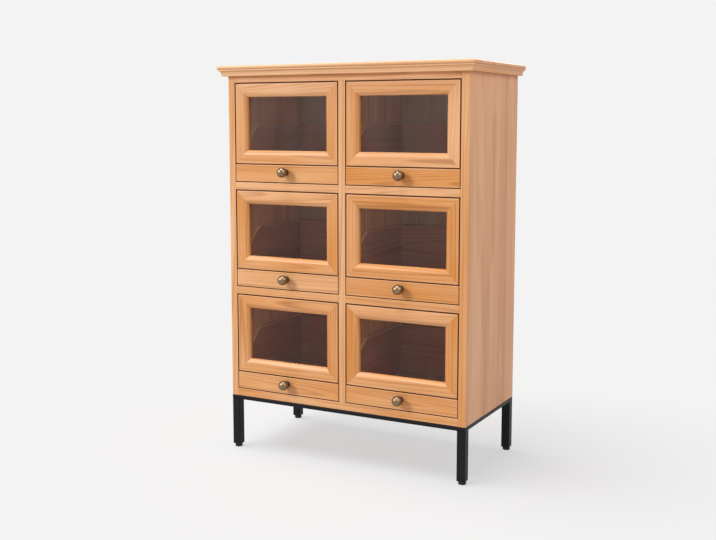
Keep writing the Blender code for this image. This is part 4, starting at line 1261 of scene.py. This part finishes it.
def fill_drawer(bay, shade):
    """Front, sides, back, bottom and knob of one drawer, in place of its three solids."""
    def box_shade():
        """The shade of the row's boxes, a little up or down."""
        return BOX_SHADES[bay.split("_")[0]] + draw.uniform(-BOX_SPREAD, BOX_SPREAD)

    front_low, front_high = box_of(f"drawer_front_{bay}")
    box_low, box_high = box_of(f"drawer_box_{bay}")
    floor = box_low[2] - SIDE_FOOT
    board = sawn(with_painted_gap_shade(boxed(front_low, front_high, 0, FRONT_EASE, FRONT_EASE)), shade, (0, 2, 1))
    add_in_bay(bay, "drawer", "drawer_face", "pine_front", PINE, board, "drawer_front")

    inner_low, inner_high = box_low[0] + SIDE_THICKNESS, box_high[0] - SIDE_THICKNESS
    for side, start in (("left", box_low[0]), ("right", inner_high)):
        stops = eased_stops(start, start + SIDE_THICKNESS, SIDE_EASE)
        board = carried(SIDE_PROFILE, SIDE_RADIUS, stops, (0, front_low[1], floor), Y, Z,
                        support=SIDE_SUPPORT)
        # The whole cut edge of a side turns pale: wear, and a painted highlight on the shoulder.
        board["edge"] = np.repeat(stops[:, 1] < stops[0, 1], len(board["points"]) // len(stops))
        add_in_bay(bay, "drawer", f"drawer_side_{side}", "drawer_wood", DRAWER_WOOD,
                   sawn(board, box_shade(), (1, 2, 0)), "drawer_box")

    top, middle = SIDE_TOP - SIDE_FOOT, (inner_low + inner_high) / 2
    notch_low, notch_high = middle - NOTCH_HALF, middle + NOTCH_HALF
    outline = [(0, inner_low), (top, inner_low), (top, inner_high), (0, inner_high), (0, notch_high),
               (NOTCH_RISE, notch_high), (NOTCH_RISE, notch_low), (0, notch_low)]
    back_face = box_high[1] - SIDE_THICKNESS
    stops = eased_stops(back_face, box_high[1], BACK_EASE)
    board = carried(outline, BACK_RADIUS, stops, (0, 0, box_low[2]), Z, X)
    add_in_bay(bay, "drawer", "drawer_back", "drawer_wood", DRAWER_WOOD,
               sawn(board, box_shade(), (2, 1, 0)))

    board = boxed((inner_low, box_low[1], floor + BOTTOM_HEIGHTS[0]),
                  (inner_high, back_face, floor + BOTTOM_HEIGHTS[1]), 0, HAIR, HAIR, BOTTOM_SUPPORT)
    add_in_bay(bay, "drawer", "drawer_bottom", "drawer_wood", PLYWOOD, sawn(board, BOTTOM_SHADE))
    centre = ((front_low[0] + front_high[0]) / 2, front_low[1], floor + KNOB_RISE)
    add_in_bay(bay, "drawer", "ball_knob", "antique_brass", BRASS, knob(centre), "knob")


print("shades of the drawer boxes:", BOX_SHADES)

# %% One flap
PANE_EASE = 0.0005
PANE_SUPPORT = 0.0006
MEMBER_SHADES = np.array((-0.2, 0.1, 0.05, 0.05))
MEMBER_SPREAD = 0.35
member_draw = np.random.default_rng(730503)


def finish_solid(node, material):
    """Give a material to a solid that stays as the frame has it."""
    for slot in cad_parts[node].material_slots:
        slot.material = material


def fill_flap(bay, shade):
    """Frame, pane and glazing strips of one flap; its rod stays as the frame has it."""
    low, high = box_of(f"flap_frame_{bay}")
    shades = shade + MEMBER_SHADES + member_draw.uniform(-MEMBER_SPREAD, MEMBER_SPREAD, 4)
    members = mitred_frame(FLAP_PROFILE, FLAP_RADII, low, high, shades, SUPPORT)
    add_in_bay(bay, "flap", "flap_members", "pine_front", PINE, members, "flap_frame")
    pane = boxed(*box_of(f"flap_glass_{bay}"), 0, PANE_EASE, PANE_EASE, PANE_SUPPORT)
    add_in_bay(bay, "flap", "flap_pane", "flap_glass", PANE, pane, "flap_glass")
    strips = mitred_frame(STRIP_PROFILE, STRIP_RADIUS, low, high, shades, STRIP_SUPPORT)
    add_in_bay(bay, "flap", "flap_strips", "pine_front", PINE, strips)
    finish_solid(f"flap_rod_{bay}", STEEL)


print("shades of a flap's members:", MEMBER_SHADES)

# %% All six bays
# The shades of each bay's drawer front and of its flap.
BAY_SHADES = {
    "bottom_left": (0.70, 0.85), "bottom_right": (0.85, 0.90), "middle_left": (0.55, 0.80),
    "middle_right": (0.90, 0.80), "top_left": (0.60, 0.60), "top_right": (1.00, 0.60),
}
for bay, (drawer_shade, flap_shade) in BAY_SHADES.items():
    fill_drawer(bay, drawer_shade)
    fill_flap(bay, flap_shade)
print(f"{len(BAY_SHADES)} drawers and as many flaps in place")

# %% [markdown]
# ## What stays as the frame has it
# The shelves with their drawer guides, the bottom board and the partition are plain boards that show
# only through the glass or under an open drawer, so their solids stay. They get the same pine, read from
# Object coordinates, turned so that the fibres of the partition stand upright.

# %% Inner boards
INNER_BOARDS = {"shelf_lower": INNER_LEVEL, "shelf_upper": INNER_LEVEL, "bottom_board": INNER_LEVEL,
                "partition": INNER_UPRIGHT}
for node, material in INNER_BOARDS.items():
    finish_solid(node, material)
print("inner boards:", ", ".join(INNER_BOARDS))
